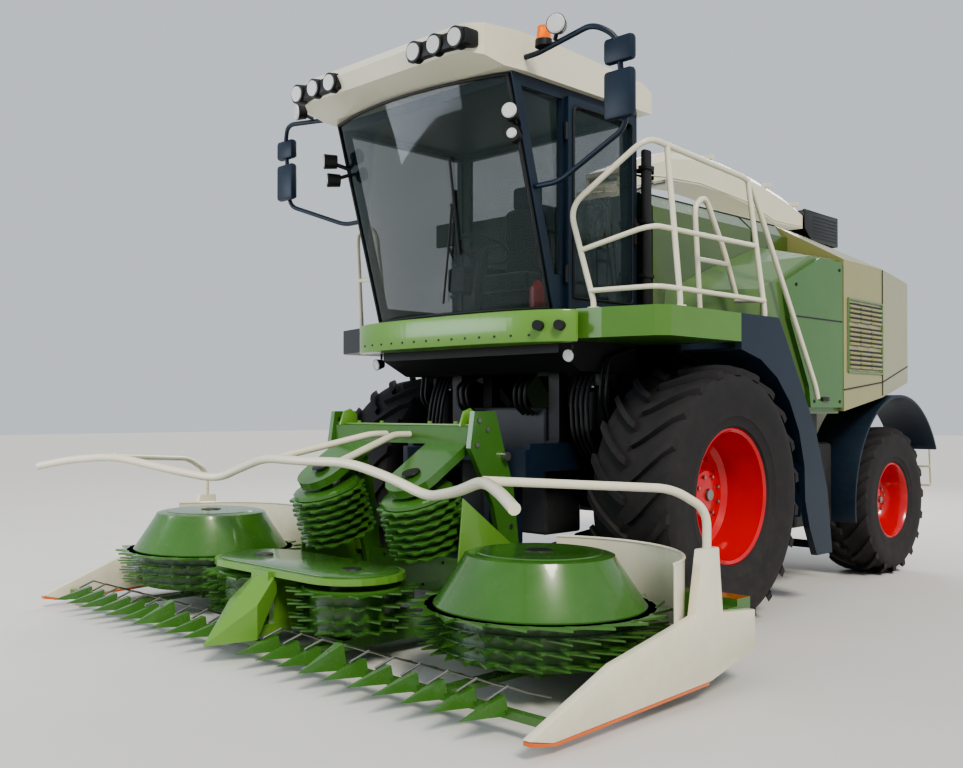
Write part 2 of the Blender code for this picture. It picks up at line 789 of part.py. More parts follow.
def right_railing():
    z0, z1 = DECK_HIGH + SEAT, DECK_HIGH + 0.05
    loop = [(-1.05, -0.86, z0), (-1.05, -0.86, z1), (-1.06, -0.96, 3.02), (-1.42, -0.86, 3.06)]
    loop += [(-1.50, -0.74, z1), (-1.50, -0.74, z0)]
    pieces = [tube("railing_right", loop, RAIL_TUBE, CREAM, 0.08)]
    bar = [(-1.056, -0.91, 2.62), (-1.458, -0.80, 2.64)]
    pieces.append(tube("right_bar", bar, RAIL_TUBE * 0.9, CREAM))
    carry(unite("railing_right", pieces))


def rear_low(y):
    """The height of the rear body's lower edge."""
    return 1.52 + (y - 2.03) * (1.80 - 1.52) / (4.0 - 2.03)


def fender_outline():
    """The cheek beside the front wheel: an arc over the tyre and the ladder's back edge."""
    centre_z, radius = FRONT_RADIUS, 1.03
    points = [(DECK_REAR + SEAT, DECK_HIGH), (0.62, DECK_HIGH), (0.74, 2.05), (1.20, 1.38)]
    points += [(1.40, 0.90), (1.48, 0.40), (1.22, 0.40)]
    for degrees in (-20, -5, 10, 25, 40, 55, 70, 84):
        angle = math.radians(degrees)
        if degrees == -20:
            points.append((1.10, 0.62))
            continue
        points.append((radius * math.cos(angle), centre_z + radius * math.sin(angle)))
    points.append((DECK_REAR + SEAT, centre_z + radius))
    return points


LADDER_STEPS = ((0.45, 1.24), (0.80, 1.22), (1.15, 1.10), (1.50, 0.92), (1.85, 0.62))


def front_fender(side, word):
    outline = fender_outline()
    pieces = [sided_plate(f"fender_front_{word}", outline, side, 1.60, DECK_X, NAVY)]
    pieces.append(sided_plate("fender_wall", outline, side, 1.12, 1.16, NAVY))
    for z, y in LADDER_STEPS:
        low, high = (1.14, y, z), (1.62, y + 0.16, z + 0.035)
        pieces.append(sided_box("step", low, high, side, NAVY))
    # The sheet over the tyre between the two cheeks.
    inner, outer = 1.032, 1.052
    band = []
    for degrees in range(84, -11, -12):
        angle = math.radians(degrees)
        band.append((outer * math.cos(angle), FRONT_RADIUS + outer * math.sin(angle)))
    for degrees in range(-12, 85, 12):
        angle = math.radians(degrees)
        band.append((inner * math.cos(angle), FRONT_RADIUS + inner * math.sin(angle)))
    pieces.append(sided_plate("guard", band, side, 1.14, 1.62, NAVY))
    carry(unite(f"fender_front_{word}", pieces))


def rear_fender(side, word):
    inner, outer = 0.96, 0.985
    band = []
    angles = [math.radians(a) for a in range(28, 189, 16)]
    for angle in angles:
        band.append((WHEELBASE + outer * math.cos(angle), REAR_RADIUS + outer * math.sin(angle)))
    for angle in reversed(angles):
        band.append((WHEELBASE + inner * math.cos(angle), REAR_RADIUS + inner * math.sin(angle)))
    pieces = [sided_plate(f"fender_rear_{word}", band, side, 1.0, 1.45, NAVY)]
    front, rear = WHEELBASE - 0.087, WHEELBASE + 0.113
    foot = REAR_RADIUS + inner + 0.009
    strut = [(front, foot), (rear, foot)]
    strut += [(rear, rear_low(rear) - 2 * SEAT), (front, rear_low(front) - 2 * SEAT)]
    pieces.append(sided_plate("strut", strut, side, 1.05, 1.16, NAVY))
    carry(unite(f"fender_rear_{word}", pieces))


# ---------------------------------------------------------------- body
def hood():
    side = [(HOOD_HALF, HOOD_LOW), (HOOD_HALF, HOOD_HIGH - 0.12), (HOOD_HALF - 0.12, HOOD_HIGH)]
    outline = side + [(-x, z) for x, z in reversed(side)]
    shell = plate("hood", outline, "xz", HOOD_FRONT, HOOD_REAR, OLIVE)
    inner = HOOD_HALF - SHEET
    side = [(inner, HOOD_LOW - 0.2), (inner, HOOD_HIGH - 0.135), (inner - 0.11, HOOD_HIGH - SHEET)]
    outline = side + [(-x, z) for x, z in reversed(side)]
    room = plate("hood_room", outline, "xz", HOOD_FRONT + SHEET, HOOD_REAR + 0.2, OLIVE)
    hole = box("tower_hole", (-0.25, 0.45, 2.6), (0.25, 1.05, 3.4), OLIVE)
    carry(cut(shell, [room, hole]))


def side_panel(side, word):
    """The flared pod behind the ladder and the door over it, hinged on its top edge."""
    inner = HOOD_HALF + SEAT
    outer = BODY_HALF
    flare = [(inner, 0.12, 2.42), (inner, 0.10, 2.26), (1.06, 0.30, 2.26), (outer, 0.74, 2.24)]
    flare += [(outer, 0.72, 2.45), (inner, 0.80, 2.26), (inner, 0.80, 2.67), (outer, 0.80, 2.25)]
    main = []
    for x, heights in ((inner, (2.64, 2.90, 2.92)), (outer, (2.45, 2.78, 2.80))):
        main += [(x, 0.72, 2.23), (x, 0.72, heights[0]), (x, 1.50, heights[1])]
        main += [(x, HOOD_REAR, heights[2]), (x, HOOD_REAR, BODY_LOW), (x, 1.33, BODY_LOW)]
    pieces = [hull(f"side_pod_{word}", mirrored(main, side), SAND)]
    pieces.append(hull("flare", mirrored(flare, side), SAND))
    carry(unite(f"side_pod_{word}", pieces))

    first, last = DOOR_EDGE
    hinge = joint_empty(f"service_door_{word}_axis", (side * (BODY_HALF + 0.02), *first))
    outline = [first, (1.10, 2.24), (1.41, 1.72), (1.44, 1.55), (HOOD_REAR, 1.55)]
    outline += [(HOOD_REAR, 2.77), last]
    low, high = BODY_HALF + SEAT, BODY_HALF + 0.04
    carry(sided_plate(f"service_door_{word}", outline, side, low, high, GREEN), hinge)


def rear_body():
    """The closed body behind the hood, down to its foot on the rails."""
    points = []
    for side in (1, -1):
        points += [
            (side * 1.50, 2.03, 1.52),
            (side * 1.50, 2.03, 2.80),
            (side * 0.88, 2.03, HOOD_HIGH),
            (side * 0.87, 2.50, 3.14),
            (side * 1.46, 2.90, 2.80),
            (side * 1.46, 2.90, rear_low(2.90)),
            (side * 0.84, 3.40, 2.99),
            (side * 0.80, 3.95, 2.86),
            (side * 1.25, 4.0, 2.78),
            (side * 1.25, 4.0, 1.80),
            (side * 0.60, 4.12, 2.80),
            (side * 0.60, 4.12, 1.85),
        ]
    points += [(0.0, 4.15, 2.80), (0.0, 4.15, 1.86)]
    body = hull("rear_body", points, SAND)
    foot = box("body_foot", (-0.58, 2.90, RAIL_HIGH + SEAT), (0.58, 3.90, 2.20), SAND)
    carry(unite("rear_body", [body, foot]))


def mirror(side, word):
    pillar = (CAB_HALF + SEAT, pillar_y(3.02) + 0.04, 3.02)
    line = [(ROOF_HALF + SEAT, -1.42, 3.83), (1.05, -1.42, 3.83), (1.55, -1.49, 3.87), (1.68, -1.42, 3.78), (1.70, -1.36, 3.24)]
    line += [(1.10, *pillar[1:]), pillar]
    pieces = [tube(f"mirror_{word}", mirrored(line, side), 0.018, NAVY, 0.06)]
    for low, high in ((3.62, 3.78), (3.28, 3.58)):
        near, far = (1.58, -1.44, low), (1.79, -1.365, high)
        pieces.append(sided_box("mirror_head", near, far, side, NAVY, 0.02))
    carry(unite(f"mirror_{word}", pieces))


# ---------------------------------------------------------------- spout
def spout():
    turn = joint_empty("spout_turn_axis", (0, SPOUT_Y, RING_HIGH))
    low, high = (0, SPOUT_Y, RING_HIGH + SEAT), (0, SPOUT_Y, RING_HIGH + 0.07)
    ring = rod("spout_base", low, high, 0.27, CREAM, 28)
    outline = [(0.52, 3.34), (0.98, 3.34), (0.98, 3.44), (0.90, 3.50), (0.80, 3.53), (0.75, 3.50)]
    outline += [(0.60, 3.42), (0.52, 3.40)]
    elbow = plate("spout_elbow", outline, "yz", -0.1545, 0.1545, CREAM)
    carry(unite("spout_base", [ring, elbow]), turn)

    lift = joint_empty("spout_lift_axis", (0, *SPOUT_HINGE), turn)
    top = [(0.69, 3.58), (0.75, 3.60), (1.08, 3.74), (1.48, 3.86), (2.10, 3.93), (2.47, 3.91)]
    top += [(3.04, 3.86), (3.62, 3.76), (FLAP_HINGE[0] - 0.014, 3.675)]
    low = [(FLAP_HINGE[0] - 0.014, 3.46), (3.36, 3.45), (2.76, 3.57), (1.95, 3.62), (1.39, 3.59)]
    low += [(1.20, 3.54), (0.96, 3.545), (0.69, 3.542)]
    outline = top + low
    pieces = [plate("spout_arm", outline, "yz", -SPOUT_HALF, SPOUT_HALF, CREAM)]
    for side in (1, -1):
        outline = [(0.68, 3.44), (0.82, 3.42), (1.20, 3.55), (1.20, 3.66), (0.70, 3.57)]
        pieces.append(sided_plate("cheek", outline, side, 0.155, SPOUT_HALF, CREAM))
    carry(unite("spout_arm", pieces), lift)

    drop = joint_empty("spout_flap_axis", (0, *FLAP_HINGE), lift)
    y, z = FLAP_HINGE
    outline = [(y, z + 0.012), (FLAP_END, 3.66), (FLAP_END, 3.34), (4.14, 3.36), (y, 3.47)]
    half = SPOUT_HALF + 0.02
    flap = plate("spout_flap", outline, "yz", -half, half, BLACK)
    outline = [(y - 0.2, z - 0.012), (FLAP_END - 0.02, 3.64), (FLAP_END - 0.02, 3.2), (y - 0.2, 3.2)]
    room = SPOUT_HALF + 0.006
    cut(flap, [plate("flap_hollow", outline, "yz", -room, room, BLACK)])
    ears = []
    for side in (1, -1):
        low, high = (SPOUT_HALF + SEAT, y - 0.035, z - 0.03), (half + 0.005, y + 0.05, z + 0.01)
        ears.append(sided_box("flap_ear", low, high, side, BLACK))
    carry(combine(flap, ears, "UNION"), drop)


# ---------------------------------------------------------------- feeder and lift rams
def feeder(parent):
    half = 0.42
    low, high = (-half, FEEDER_FRONT, 0.45), (half, -0.84, 1.25)
    shell = box("feeder_housing", low, high, NAVY)
    low, high = (-half + 0.05, FEEDER_FRONT - 0.2, 0.53), (half - 0.05, -0.6, 1.17)
    cut(shell, [box("mouth", low, high, NAVY)])
    near = RAIL_X + RAIL_WIDTH / 2 + 0.01 + SEAT
    pieces = []
    for side in (1, -1):
        low, high = (near, -1.0, 1.09), (near + 0.06, -0.44, 1.29)
        pieces.append(sided_box("lift_arm", low, high, side, NAVY))
        low, high = (half - 0.02, -1.05, 1.05), (near + 0.06, -0.86, 1.25)
        pieces.append(sided_box("arm_root", low, high, side, NAVY))
        low, high = (half - 0.02, RAM_EYE[0] - 0.06, 0.46), (near + 0.02, RAM_EYE[0] - RAM_ROD - 0.004, 0.54)
        pieces.append(sided_box("ram_lug", low, high, side, NAVY))
    carry(combine(shell, pieces, "UNION"), parent)


def lift_rams():
    """One ram each side from a bracket under the rails to a lug under the feeder."""
    foot = Vector((0, *RAM_FOOT))
    eye = Vector((0, *RAM_EYE))
    way = (eye - foot).normalized()
    tilt = joint_empty("ram_tilt_axis", tuple(foot))
    slide = joint_empty("ram_slide_axis", tuple(foot), tilt)
    for side, word in ((1, "left"), (-1, "right")):
        start = foot + Vector((side * RAM_X, 0, 0))
        far = start + way * 0.62
        barrel = rod(f"ram_barrel_{word}", start - way * 0.04, far, RAM_RADIUS, BLACK, 20)
        bore = rod("ram_bore", start + way * 0.03, far + way * 0.1, RAM_ROD + 0.0006, STEEL, 20)
        carry(cut(barrel, [bore]), tilt)
        tip = start + way * (eye - foot).length
        piston = rod(f"ram_rod_{word}", start + way * 0.035, tip, RAM_ROD, STEEL, 20)
        carry(piston, slide)


# ---------------------------------------------------------------- header
def star(count, inner, outer, skew=0.0):
    """A round outline with pointed teeth."""
    points = []
    for k in range(count):
        base = 2 * math.pi * k / count
        tip = base + math.pi / count * (1 + skew)
        points.append((inner * math.cos(base), inner * math.sin(base)))
        points.append((outer * math.cos(tip), outer * math.sin(tip)))
    return points


def toothed(name, centre, count, inner, outer, low, high, material, skew=0.0):
    outline = [(centre[0] + x, centre[1] + y) for x, y in star(count, inner, outer, skew)]
    return plate(name, outline, "xy", low, high, material)


def rotor(side, word, header):
    """A crop-gathering rotor: a cone over a toothed drum."""
    spin = joint_empty(f"rotor_{word}_axis", (side * ROTOR_X, ROTOR_Y, GEARBOX_TOP), header)
    profile = [(0.0, ROTOR_TOP + 0.02), (0.075, ROTOR_TOP + 0.02), (0.080, ROTOR_TOP)]
    profile += [(0.42, ROTOR_TOP), (0.58, 0.475), (0.585, 0.45), (0.52, 0.44)]
    profile += [(0.52, 0.20), (0.30, GEARBOX_TOP + SEAT), (0.0, GEARBOX_TOP + SEAT)]
    body = turned(f"rotor_{word}", profile, 32, GREEN)
    body.location = (side * ROTOR_X, ROTOR_Y, 0)
    centre = (side * ROTOR_X, ROTOR_Y)
    pieces = [body]
    for count, inner, outer, low in (
        (24, 0.60, ROTOR_TEETH, 0.450),
        (30, 0.58, 0.70, 0.370),
        (30, 0.56, 0.66, 0.270),
    ):
        comb = toothed("rotor_teeth", centre, count, inner, outer, low, low + 0.012, GREEN, 0.4 * side)
        pieces.append(comb)
    carry(unite(f"rotor_{word}", pieces), spin)


def inner_rotor(side, word, header):
    """A small rotor under the middle cover, toothed like the large ones."""
    spin = joint_empty(f"inner_rotor_{word}_axis", (side * INNER_X, INNER_Y, GEARBOX_TOP), header)
    profile = [(0.0, 0.46), (0.31, 0.46), (0.31, 0.43), (0.26, 0.42), (0.26, 0.20)]
    profile += [(0.18, GEARBOX_TOP + SEAT), (0.0, GEARBOX_TOP + SEAT)]
    body = turned(f"inner_rotor_{word}", profile, 24, GREEN)
    body.location = (side * INNER_X, INNER_Y, 0)
    centre = (side * INNER_X, INNER_Y)
    pieces = [body]
    for low in (0.44, 0.32):
        comb = toothed("teeth", centre, 18, 0.30, INNER_TEETH, low, low + 0.012, GREEN, -0.4 * side)
        pieces.append(comb)
    carry(unite(f"inner_rotor_{word}", pieces), spin)


DRUM_AXIS = Vector((0, -math.sin(DRUM_TILT), math.cos(DRUM_TILT)))


def feed_drum(side, word, header):
    """A leaning drum of stacked discs that hands the crop to the feeder."""
    top = Vector((side * DRUM_X, *DRUM_TOP))
    spin = joint_empty(f"feed_drum_{word}_axis", tuple(top), header)
    profile = [(0.0, 0.0), (0.15, 0.0)]
    for level in range(5):
        z = -0.010 - 0.080 * level
        profile += [(0.15, z), (DRUM_RADIUS, z - 0.012), (DRUM_RADIUS, z - 0.026), (0.15, z - 0.038)]
    profile += [(0.15, -0.42), (0.0, -0.42)]
    body = turned(f"feed_drum_{word}", profile, 24, GREEN)
    body.rotation_euler = (DRUM_TILT, 0, 0)
    body.location = top
    carry(body, spin)


def header_frame(parent):
    pieces = [box("header_frame", (-BEAM_HALF, -1.34, BEAM_LOW), (BEAM_HALF, BEAM_REAR, 0.48), GREEN)]
    bracket = [(-1.34, 0.30), (-1.20, 0.30), (-1.30, 1.0), (-1.48, 1.52), (-1.68, 1.52)]
    bracket += [(-1.72, 1.28), (-1.50, 0.90)]
    for side in (1, -1):
        pieces.append(sided_plate("beam_bracket", bracket, side, 0.70, 0.74, GREEN))
        low, high = (BEAM_HALF - 0.12, -1.58, 0.24), (BEAM_HALF, -1.22, 0.44)
        pieces.append(sided_box("end_arm", low, high, side, GREEN))
        pieces.append(drum_arm(side))
        top = Vector((side * DRUM_X, *DRUM_TOP))
        pieces.append(rod("spindle", top + DRUM_AXIS * SEAT, top + DRUM_AXIS * 0.09, 0.05, GREEN))
    pieces.append(box("top_beam", (-0.74, -1.68, 1.30), (0.74, -1.54, 1.42), GREEN))
    carry(unite("header_frame", pieces), parent)


def gear_arms(parent):
    """The flat gear arms bolted under the beam, which carry the rotors, the front bar and the fingers."""
    pieces = [box("gear_arms", (0.02 - END_X, -2.95, 0.09), (END_X - 0.02, -2.90, 0.13), GREEN)]
    for side in (1, -1):
        for x, near, half in ((ROTOR_X, ROTOR_Y, 0.16), (INNER_X, INNER_Y, 0.14)):
            low, high = (x - half, near - 0.18, 0.10), (x + half, -1.22, GEARBOX_TOP)
            pieces.append(sided_box("gear_arm", low, high, side, GREEN))
            low, high = (x - 0.05, -2.93, 0.10), (x + 0.05, near, 0.13)
            pieces.append(sided_box("front_arm", low, high, side, GREEN))
            low, high = (x - half, -1.33, 0.12), (x + half, -1.22, BEAM_LOW - SEAT)
            pieces.append(sided_box("arm_root", low, high, side, GREEN))
    carry(unite("gear_arms", pieces + crop_fingers()), parent)


def drum_arm(side):
    """A flat arm over a feed drum, round at its front, rising to the top beam."""
    length, half, thick = 0.46, 0.19, 0.06
    outline = [(half, length), (-half, length)]
    outline += [
        (-half * math.cos(math.pi * k / 10), -half * math.sin(math.pi * k / 10)) for k in range(11)
    ]
    arm = plate("drum_arm", outline, "xy", -thick / 2, thick / 2, GREEN)
    turn = Matrix.Rotation(DRUM_TILT + math.radians(12), 4, "X")
    arm.rotation_euler = turn.to_euler()
    arm.location = Vector((side * DRUM_X, DRUM_TOP[0] - 0.02, DRUM_TOP[1] + 0.085))
    return arm


def middle_cover(parent):
    """The flat oval cover over both middle rotors, its post and the divider before it."""
    radius = 0.33
    outline = []
    for side, start in ((1, -math.pi / 2), (-1, math.pi / 2)):
        for k in range(13):
            angle = start + math.pi * k / 12
            x = side * INNER_X + radius * math.cos(angle)
            outline.append((x, INNER_Y + radius * math.sin(angle)))
    cover = plate("middle_cover", outline, "xy", INNER_COVER, INNER_COVER + 0.04, GREEN)
    pieces = [cover]
    low, high = (-0.028, -2.75, 0.135), (0.028, -2.30, INNER_COVER + 0.01)
    pieces.append(box("cover_post", low, high, GREEN))
    wedge = [(-0.003, TIP_Y, 0.12), (0.003, TIP_Y, 0.12), (0.0, TIP_Y, 0.13)]
    for x in (0.10, -0.10):
        wedge += [(x * 1.5, -2.96, 0.14), (x * 1.5, -2.96, 0.35), (x, -2.78, 0.52), (x, -2.78, 0.40)]
    wedge += [(0.0, -2.80, 0.54), (0.0, -2.98, 0.40)]
    pieces.append(hull("middle_divider", wedge, GREEN))
    pieces.append(box("divider_neck", (-0.09, -2.84, 0.465), (0.09, -2.60, INNER_COVER + 0.03), GREEN))
    pieces.append(box("divider_foot", (-0.05, -2.94, 0.13 + SEAT), (0.05, -2.72, 0.20), GREEN))
    carry(unite("middle_cover", pieces), parent)


def crop_fingers():
    """The row of pointed fingers on the front bar."""
    pieces = []
    for side in (1, -1):
        for k in range(10):
            x = side * (0.30 + FINGER_SPACING * k)
            half, high = (0.065, 0.24) if k == 3 else (0.05, 0.19)
            points = [(x, FINGER_TIP_Y, 0.12), (x - half, -2.93, 0.10), (x + half, -2.93, 0.10)]
            points += [(x - half * 0.5, -2.93, high), (x + half * 0.5, -2.93, high)]
            pieces.append(hull("finger", points, GREEN))
    return pieces


def end_divider(side, word, parent):
    outline = [(END_TIP_Y, 0.10), (-2.55, 0.33), (-1.85, 0.46), (-1.78, 0.80), (-1.62, 0.80)]
    outline += [(-1.58, 0.45), (-1.24, 0.42), (-1.24, 0.20), (-1.70, 0.10), (-3.00, 0.06)]
    pieces = [sided_plate(f"end_divider_{word}", outline, side, END_X, HEADER_HALF, CREAM)]
    # The curved guard round the back of the rotor.
    inner, outer = 0.770, 0.782
    band = []
    angles = [math.radians(12 + 11 * k) for k in range(11)]
    for radius, run in ((outer, angles), (inner, angles[::-1])):
        for angle in run:
            x = ROTOR_X + radius * math.cos(angle)
            band.append((side * x, ROTOR_Y + radius * math.sin(angle)))
    pieces.append(plate("rotor_guard", band, "xy", 0.30, 0.74, CREAM))
    carry(unite(f"end_divider_{word}", pieces), parent)


def pusher(parent):
    """The bent bar that leans the stalks forward, on two side stays and two middle arms."""
    r = PUSHER_TUBE
    half = [(0.0, -2.52, 1.20), (0.45, -2.49, 1.205), (0.80, -2.45, 1.12), (1.10, -2.45, 1.03)]
    half += [(1.50, -2.62, 1.09), (1.90, -2.84, 1.18), (2.20, -3.05, 1.15), (END_X, -3.20, 1.10)]
    line = [(-x, y, z) for x, y, z in reversed(half[1:])] + half
    pieces = [tube("pusher_bar", line, r, CREAM, 0.10)]
    for side in (1, -1):
        foot = HEADER_HALF - END_PLATE / 2
        stay = [(1.90, -2.84, 1.18), (2.38, -1.92, 1.12), (foot, -1.70, 1.0), (foot, -1.70, 0.80 + SEAT)]
        pieces.append(tube("stay", mirrored(stay, side), r * 0.8, CREAM, 0.08))
        arm = [(0.35, -2.50, 1.20), (0.12, -1.82, 1.36), (0.12, -1.68 - SEAT, 1.36)]
        pieces.append(tube("arm", mirrored(arm, side), r * 0.8, CREAM, 0.05))
    carry(unite("pusher_bar", pieces), parent)


def header():
    lift = joint_empty("header_lift_axis", (0, *PIVOT))
    feeder(lift)
    header_frame(lift)
    gear_arms(lift)
    middle_cover(lift)
    for side, word in ((1, "left"), (-1, "right")):
        rotor(side, word, lift)
        inner_rotor(side, word, lift)
        feed_drum(side, word, lift)
        end_divider(side, word, lift)
    pusher(lift)


running_gear()
chassis()
crop_line()
cab()
cab_inside()
both(deck)
bumper()
left_railing()
right_railing()
both(front_fender)
both(rear_fender)
hood()
both(side_panel)

rear_body()

both(mirror)
spout()
header()
lift_rams()
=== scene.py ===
"""Forage harvester with a rotary maize header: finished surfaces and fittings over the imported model."""

import math

import bmesh
import bpy
from mathutils import Matrix, Vector


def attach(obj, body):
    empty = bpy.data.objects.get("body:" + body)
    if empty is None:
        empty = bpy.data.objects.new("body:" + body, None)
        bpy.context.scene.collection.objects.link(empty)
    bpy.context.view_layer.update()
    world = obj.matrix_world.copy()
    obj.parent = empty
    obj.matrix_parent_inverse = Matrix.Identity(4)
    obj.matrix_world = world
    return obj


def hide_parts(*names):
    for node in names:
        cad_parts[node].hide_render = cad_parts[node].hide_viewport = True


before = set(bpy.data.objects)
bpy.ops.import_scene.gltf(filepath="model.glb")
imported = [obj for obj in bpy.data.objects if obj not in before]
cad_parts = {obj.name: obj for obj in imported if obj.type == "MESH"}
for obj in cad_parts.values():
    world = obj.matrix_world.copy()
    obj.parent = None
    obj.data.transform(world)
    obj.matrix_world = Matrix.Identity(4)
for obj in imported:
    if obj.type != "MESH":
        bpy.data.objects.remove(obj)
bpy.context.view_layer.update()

# Places below are measured from the ground under the middle of the front axle.
AXLE_Y = -0.76
TO_ROW = Matrix.Translation((0, AXLE_Y, 0))
COLLECTION = bpy.data.collections.new("finish")
bpy.context.scene.collection.children.link(COLLECTION)


# ---------------------------------------------------------------- materials
def linear(code, alpha=1.0):
    channels = [int(code[i : i + 2], 16) / 255 for i in (1, 3, 5)]
    return (*[c / 12.92 if c <= 0.04045 else ((c + 0.055) / 1.055) ** 2.4 for c in channels], alpha)


def node(material, kind, settings=(), **sockets):
    """Add a node; sockets are named with _ for a space and take a value or another node's output."""
    made = material.node_tree.nodes.new(kind)
    for name, value in dict(settings).items():
        setattr(made, name, value)
    for name, value in sockets.items():
        plug = made.inputs[int(name[1:])] if name[0] == "i" and name[1:].isdigit() else made.inputs[name.replace("_", " ")]
        if isinstance(value, bpy.types.NodeSocket):
            material.node_tree.links.new(value, plug)
        else:
            plug.default_value = value
    return made


def blank(name):
    material = bpy.data.materials.new(name)
    material.use_nodes = True
    shader = material.node_tree.nodes["Principled BSDF"]
    where = node(material, "ShaderNodeTexCoord").outputs["Object"]
    return material, shader, where


def join(material, output, shader, socket):
    material.node_tree.links.new(output, shader.inputs[socket])


def finish(name, base, shade, rough, grain=0.0025, depth=0.05, dust=0.25, coat=0.0, metallic=0.0, low="#8A8474"):
    """A coated or moulded surface: cloudy tone, fine grain in its gloss, and dust that gathers low down."""
    material, shader, where = blank(name)
    cloud = node(material, "ShaderNodeTexNoise", Vector=where, Scale=2.2, Detail=5.0, Roughness=0.6)
    tone = node(material, "ShaderNodeMix", {"data_type": "RGBA"}, Factor=cloud.outputs["Fac"])
    tone.inputs["A"].default_value = linear(base)
    tone.inputs["B"].default_value = linear(shade)
    height = node(material, "ShaderNodeSeparateXYZ", Vector=where).outputs["Z"]
    fall = node(material, "ShaderNodeMapRange", Value=height, i1=0.0, i2=2.2, i3=dust, i4=dust * 0.12)
    speck = node(material, "ShaderNodeTexNoise", Vector=where, Scale=9.0, Detail=8.0, Roughness=0.7)
    patch = node(material, "ShaderNodeMapRange", Value=speck.outputs["Fac"], i1=0.42, i2=0.70, i3=0.15, i4=1.0)
    amount = node(
        material, "ShaderNodeMath", {"operation": "MULTIPLY"}, i0=fall.outputs["Result"], i1=patch.outputs["Result"]
    )
    dirty = node(material, "ShaderNodeMix", {"data_type": "RGBA"}, Factor=amount.outputs[0])
    join(material, tone.outputs["Result"], dirty, "A")
    dirty.inputs["B"].default_value = linear(low)
    join(material, dirty.outputs["Result"], shader, "Base Color")
    gloss = node(material, "ShaderNodeMapRange", Value=amount.outputs[0], i1=0.0, i2=0.5, i3=rough, i4=rough + 0.35)
    join(material, gloss.outputs["Result"], shader, "Roughness")
    peel = node(material, "ShaderNodeTexNoise", Vector=where, Scale=1.0 / grain, Detail=2.0)
    bump = node(material, "ShaderNodeBump", Height=peel.outputs["Fac"], Strength=depth, Distance=grain)
    join(material, bump.outputs["Normal"], shader, "Normal")
    shader.inputs["Metallic"].default_value = metallic
    shader.inputs["Coat Weight"].default_value = coat
    shader.inputs["Coat Roughness"].default_value = 0.08
    return material


# Two-pack enamel on pressed steel: deep gloss with a slight orange peel of about 2.5 mm.
GREEN = finish("leaf_green_enamel", "#44762B", "#386423", 0.24, coat=0.5, dust=0.08)
LIGHT_GREEN = finish("pale_green_enamel", "#6E9C40", "#5E8C36", 0.28, coat=0.4, dust=0.08)
DECK_GREEN = finish("deck_green_enamel", "#5E8A38", "#4E7A2E", 0.32, coat=0.3, dust=0.10)
OLIVE = finish("hood_olive_enamel", "#4B6426", "#3F561F", 0.20, coat=0.6, dust=0.06)
POD_GREEN = finish("pod_green_enamel", "#62804A", "#557340", 0.30, coat=0.4, dust=0.10)
SAND = finish("rear_sand_green_enamel", "#A29C6A", "#8C8E5A", 0.30, coat=0.4, dust=0.10)
CREAM = finish("cream_enamel", "#E8E4D0", "#DAD5BE", 0.30, coat=0.3, dust=0.15)
RED = finish("wheel_red_enamel", "#D20A12", "#B0070E", 0.25, coat=0.6, dust=0.06)
# Textured moulded plastic: the grain is a leather-like pebble about 3 mm across.
NAVY = finish("navy_moulded_plastic", "#12283D", "#0B1C2C", 0.42, grain=0.003, depth=0.25, dust=0.05)
TRIM = finish("cab_moulded_trim", "#33363B", "#26282C", 0.62, grain=0.003, depth=0.3, dust=0.0)
# Chassis paint: satin black over cast and rolled steel, a little rough from the casting.
BLACK = finish("black_chassis_paint", "#17181A", "#0E0F11", 0.45, grain=0.005, depth=0.35, dust=0.14)
GRAPHITE = finish("grey_service_enamel", "#34373A", "#26292C", 0.40, grain=0.004, depth=0.2, dust=0.12)
STEEL = finish("worn_bright_steel", "#B9B9B4", "#8E8C86", 0.30, grain=0.002, depth=0.15, dust=0.1, metallic=1.0)
ORANGE = finish("orange_enamel", "#E8701E", "#D25F14", 0.30, coat=0.4)
# Vulcanised natural rubber: dull, with pale field dust that gathers low down.
RUBBER = finish("vulcanised_tyre_rubber", "#242327", "#1B1A1D", 0.76, grain=0.006, depth=0.35, dust=0.22, low="#6A6256")


def lens(name, code, rough, alpha=0.6, glow=0.0):
    """A clear moulded lens with fine prism ribs of about 6 mm."""
    material, shader, where = blank(name)
    shader.inputs["Base Color"].default_value = linear(code)
    shader.inputs["Roughness"].default_value = rough
    shader.inputs["IOR"].default_value = 1.49
    shader.inputs["Transmission Weight"].default_value = alpha
    shader.inputs["Emission Color"].default_value = linear(code)
    shader.inputs["Emission Strength"].default_value = glow
    ribs = node(material, "ShaderNodeTexWave", {"wave_type": "BANDS", "bands_direction": "X"}, Vector=where, Scale=26.0)
    bump = node(material, "ShaderNodeBump", Height=ribs.outputs["Fac"], Strength=0.3, Distance=0.003)
    join(material, bump.outputs["Normal"], shader, "Normal")
    return material


# Laminated safety glass, lightly green, smooth enough to mirror the room.
GLASS, glass_shader, glass_at = blank("laminated_tinted_glass")
glass_shader.inputs["Base Color"].default_value = linear("#0C2A26")
glass_shader.inputs["IOR"].default_value = 1.5
glass_shader.inputs["Alpha"].default_value = 0.34
glass_shader.inputs["Coat Weight"].default_value = 0.6
glass_shader.inputs["Coat Roughness"].default_value = 0.02
haze = node(GLASS, "ShaderNodeTexNoise", Vector=glass_at, Scale=3.0, Detail=6.0)
gloss = node(GLASS, "ShaderNodeMapRange", Value=haze.outputs["Fac"], i1=0.4, i2=0.8, i3=0.02, i4=0.12)
join(GLASS, gloss.outputs["Result"], glass_shader, "Roughness")
CLEAR = lens("clear_lamp_lens", "#F2F4F2", 0.08, 0.3)
AMBER = lens("amber_lamp_lens", "#F07A10", 0.12, 0.35, 0.25)
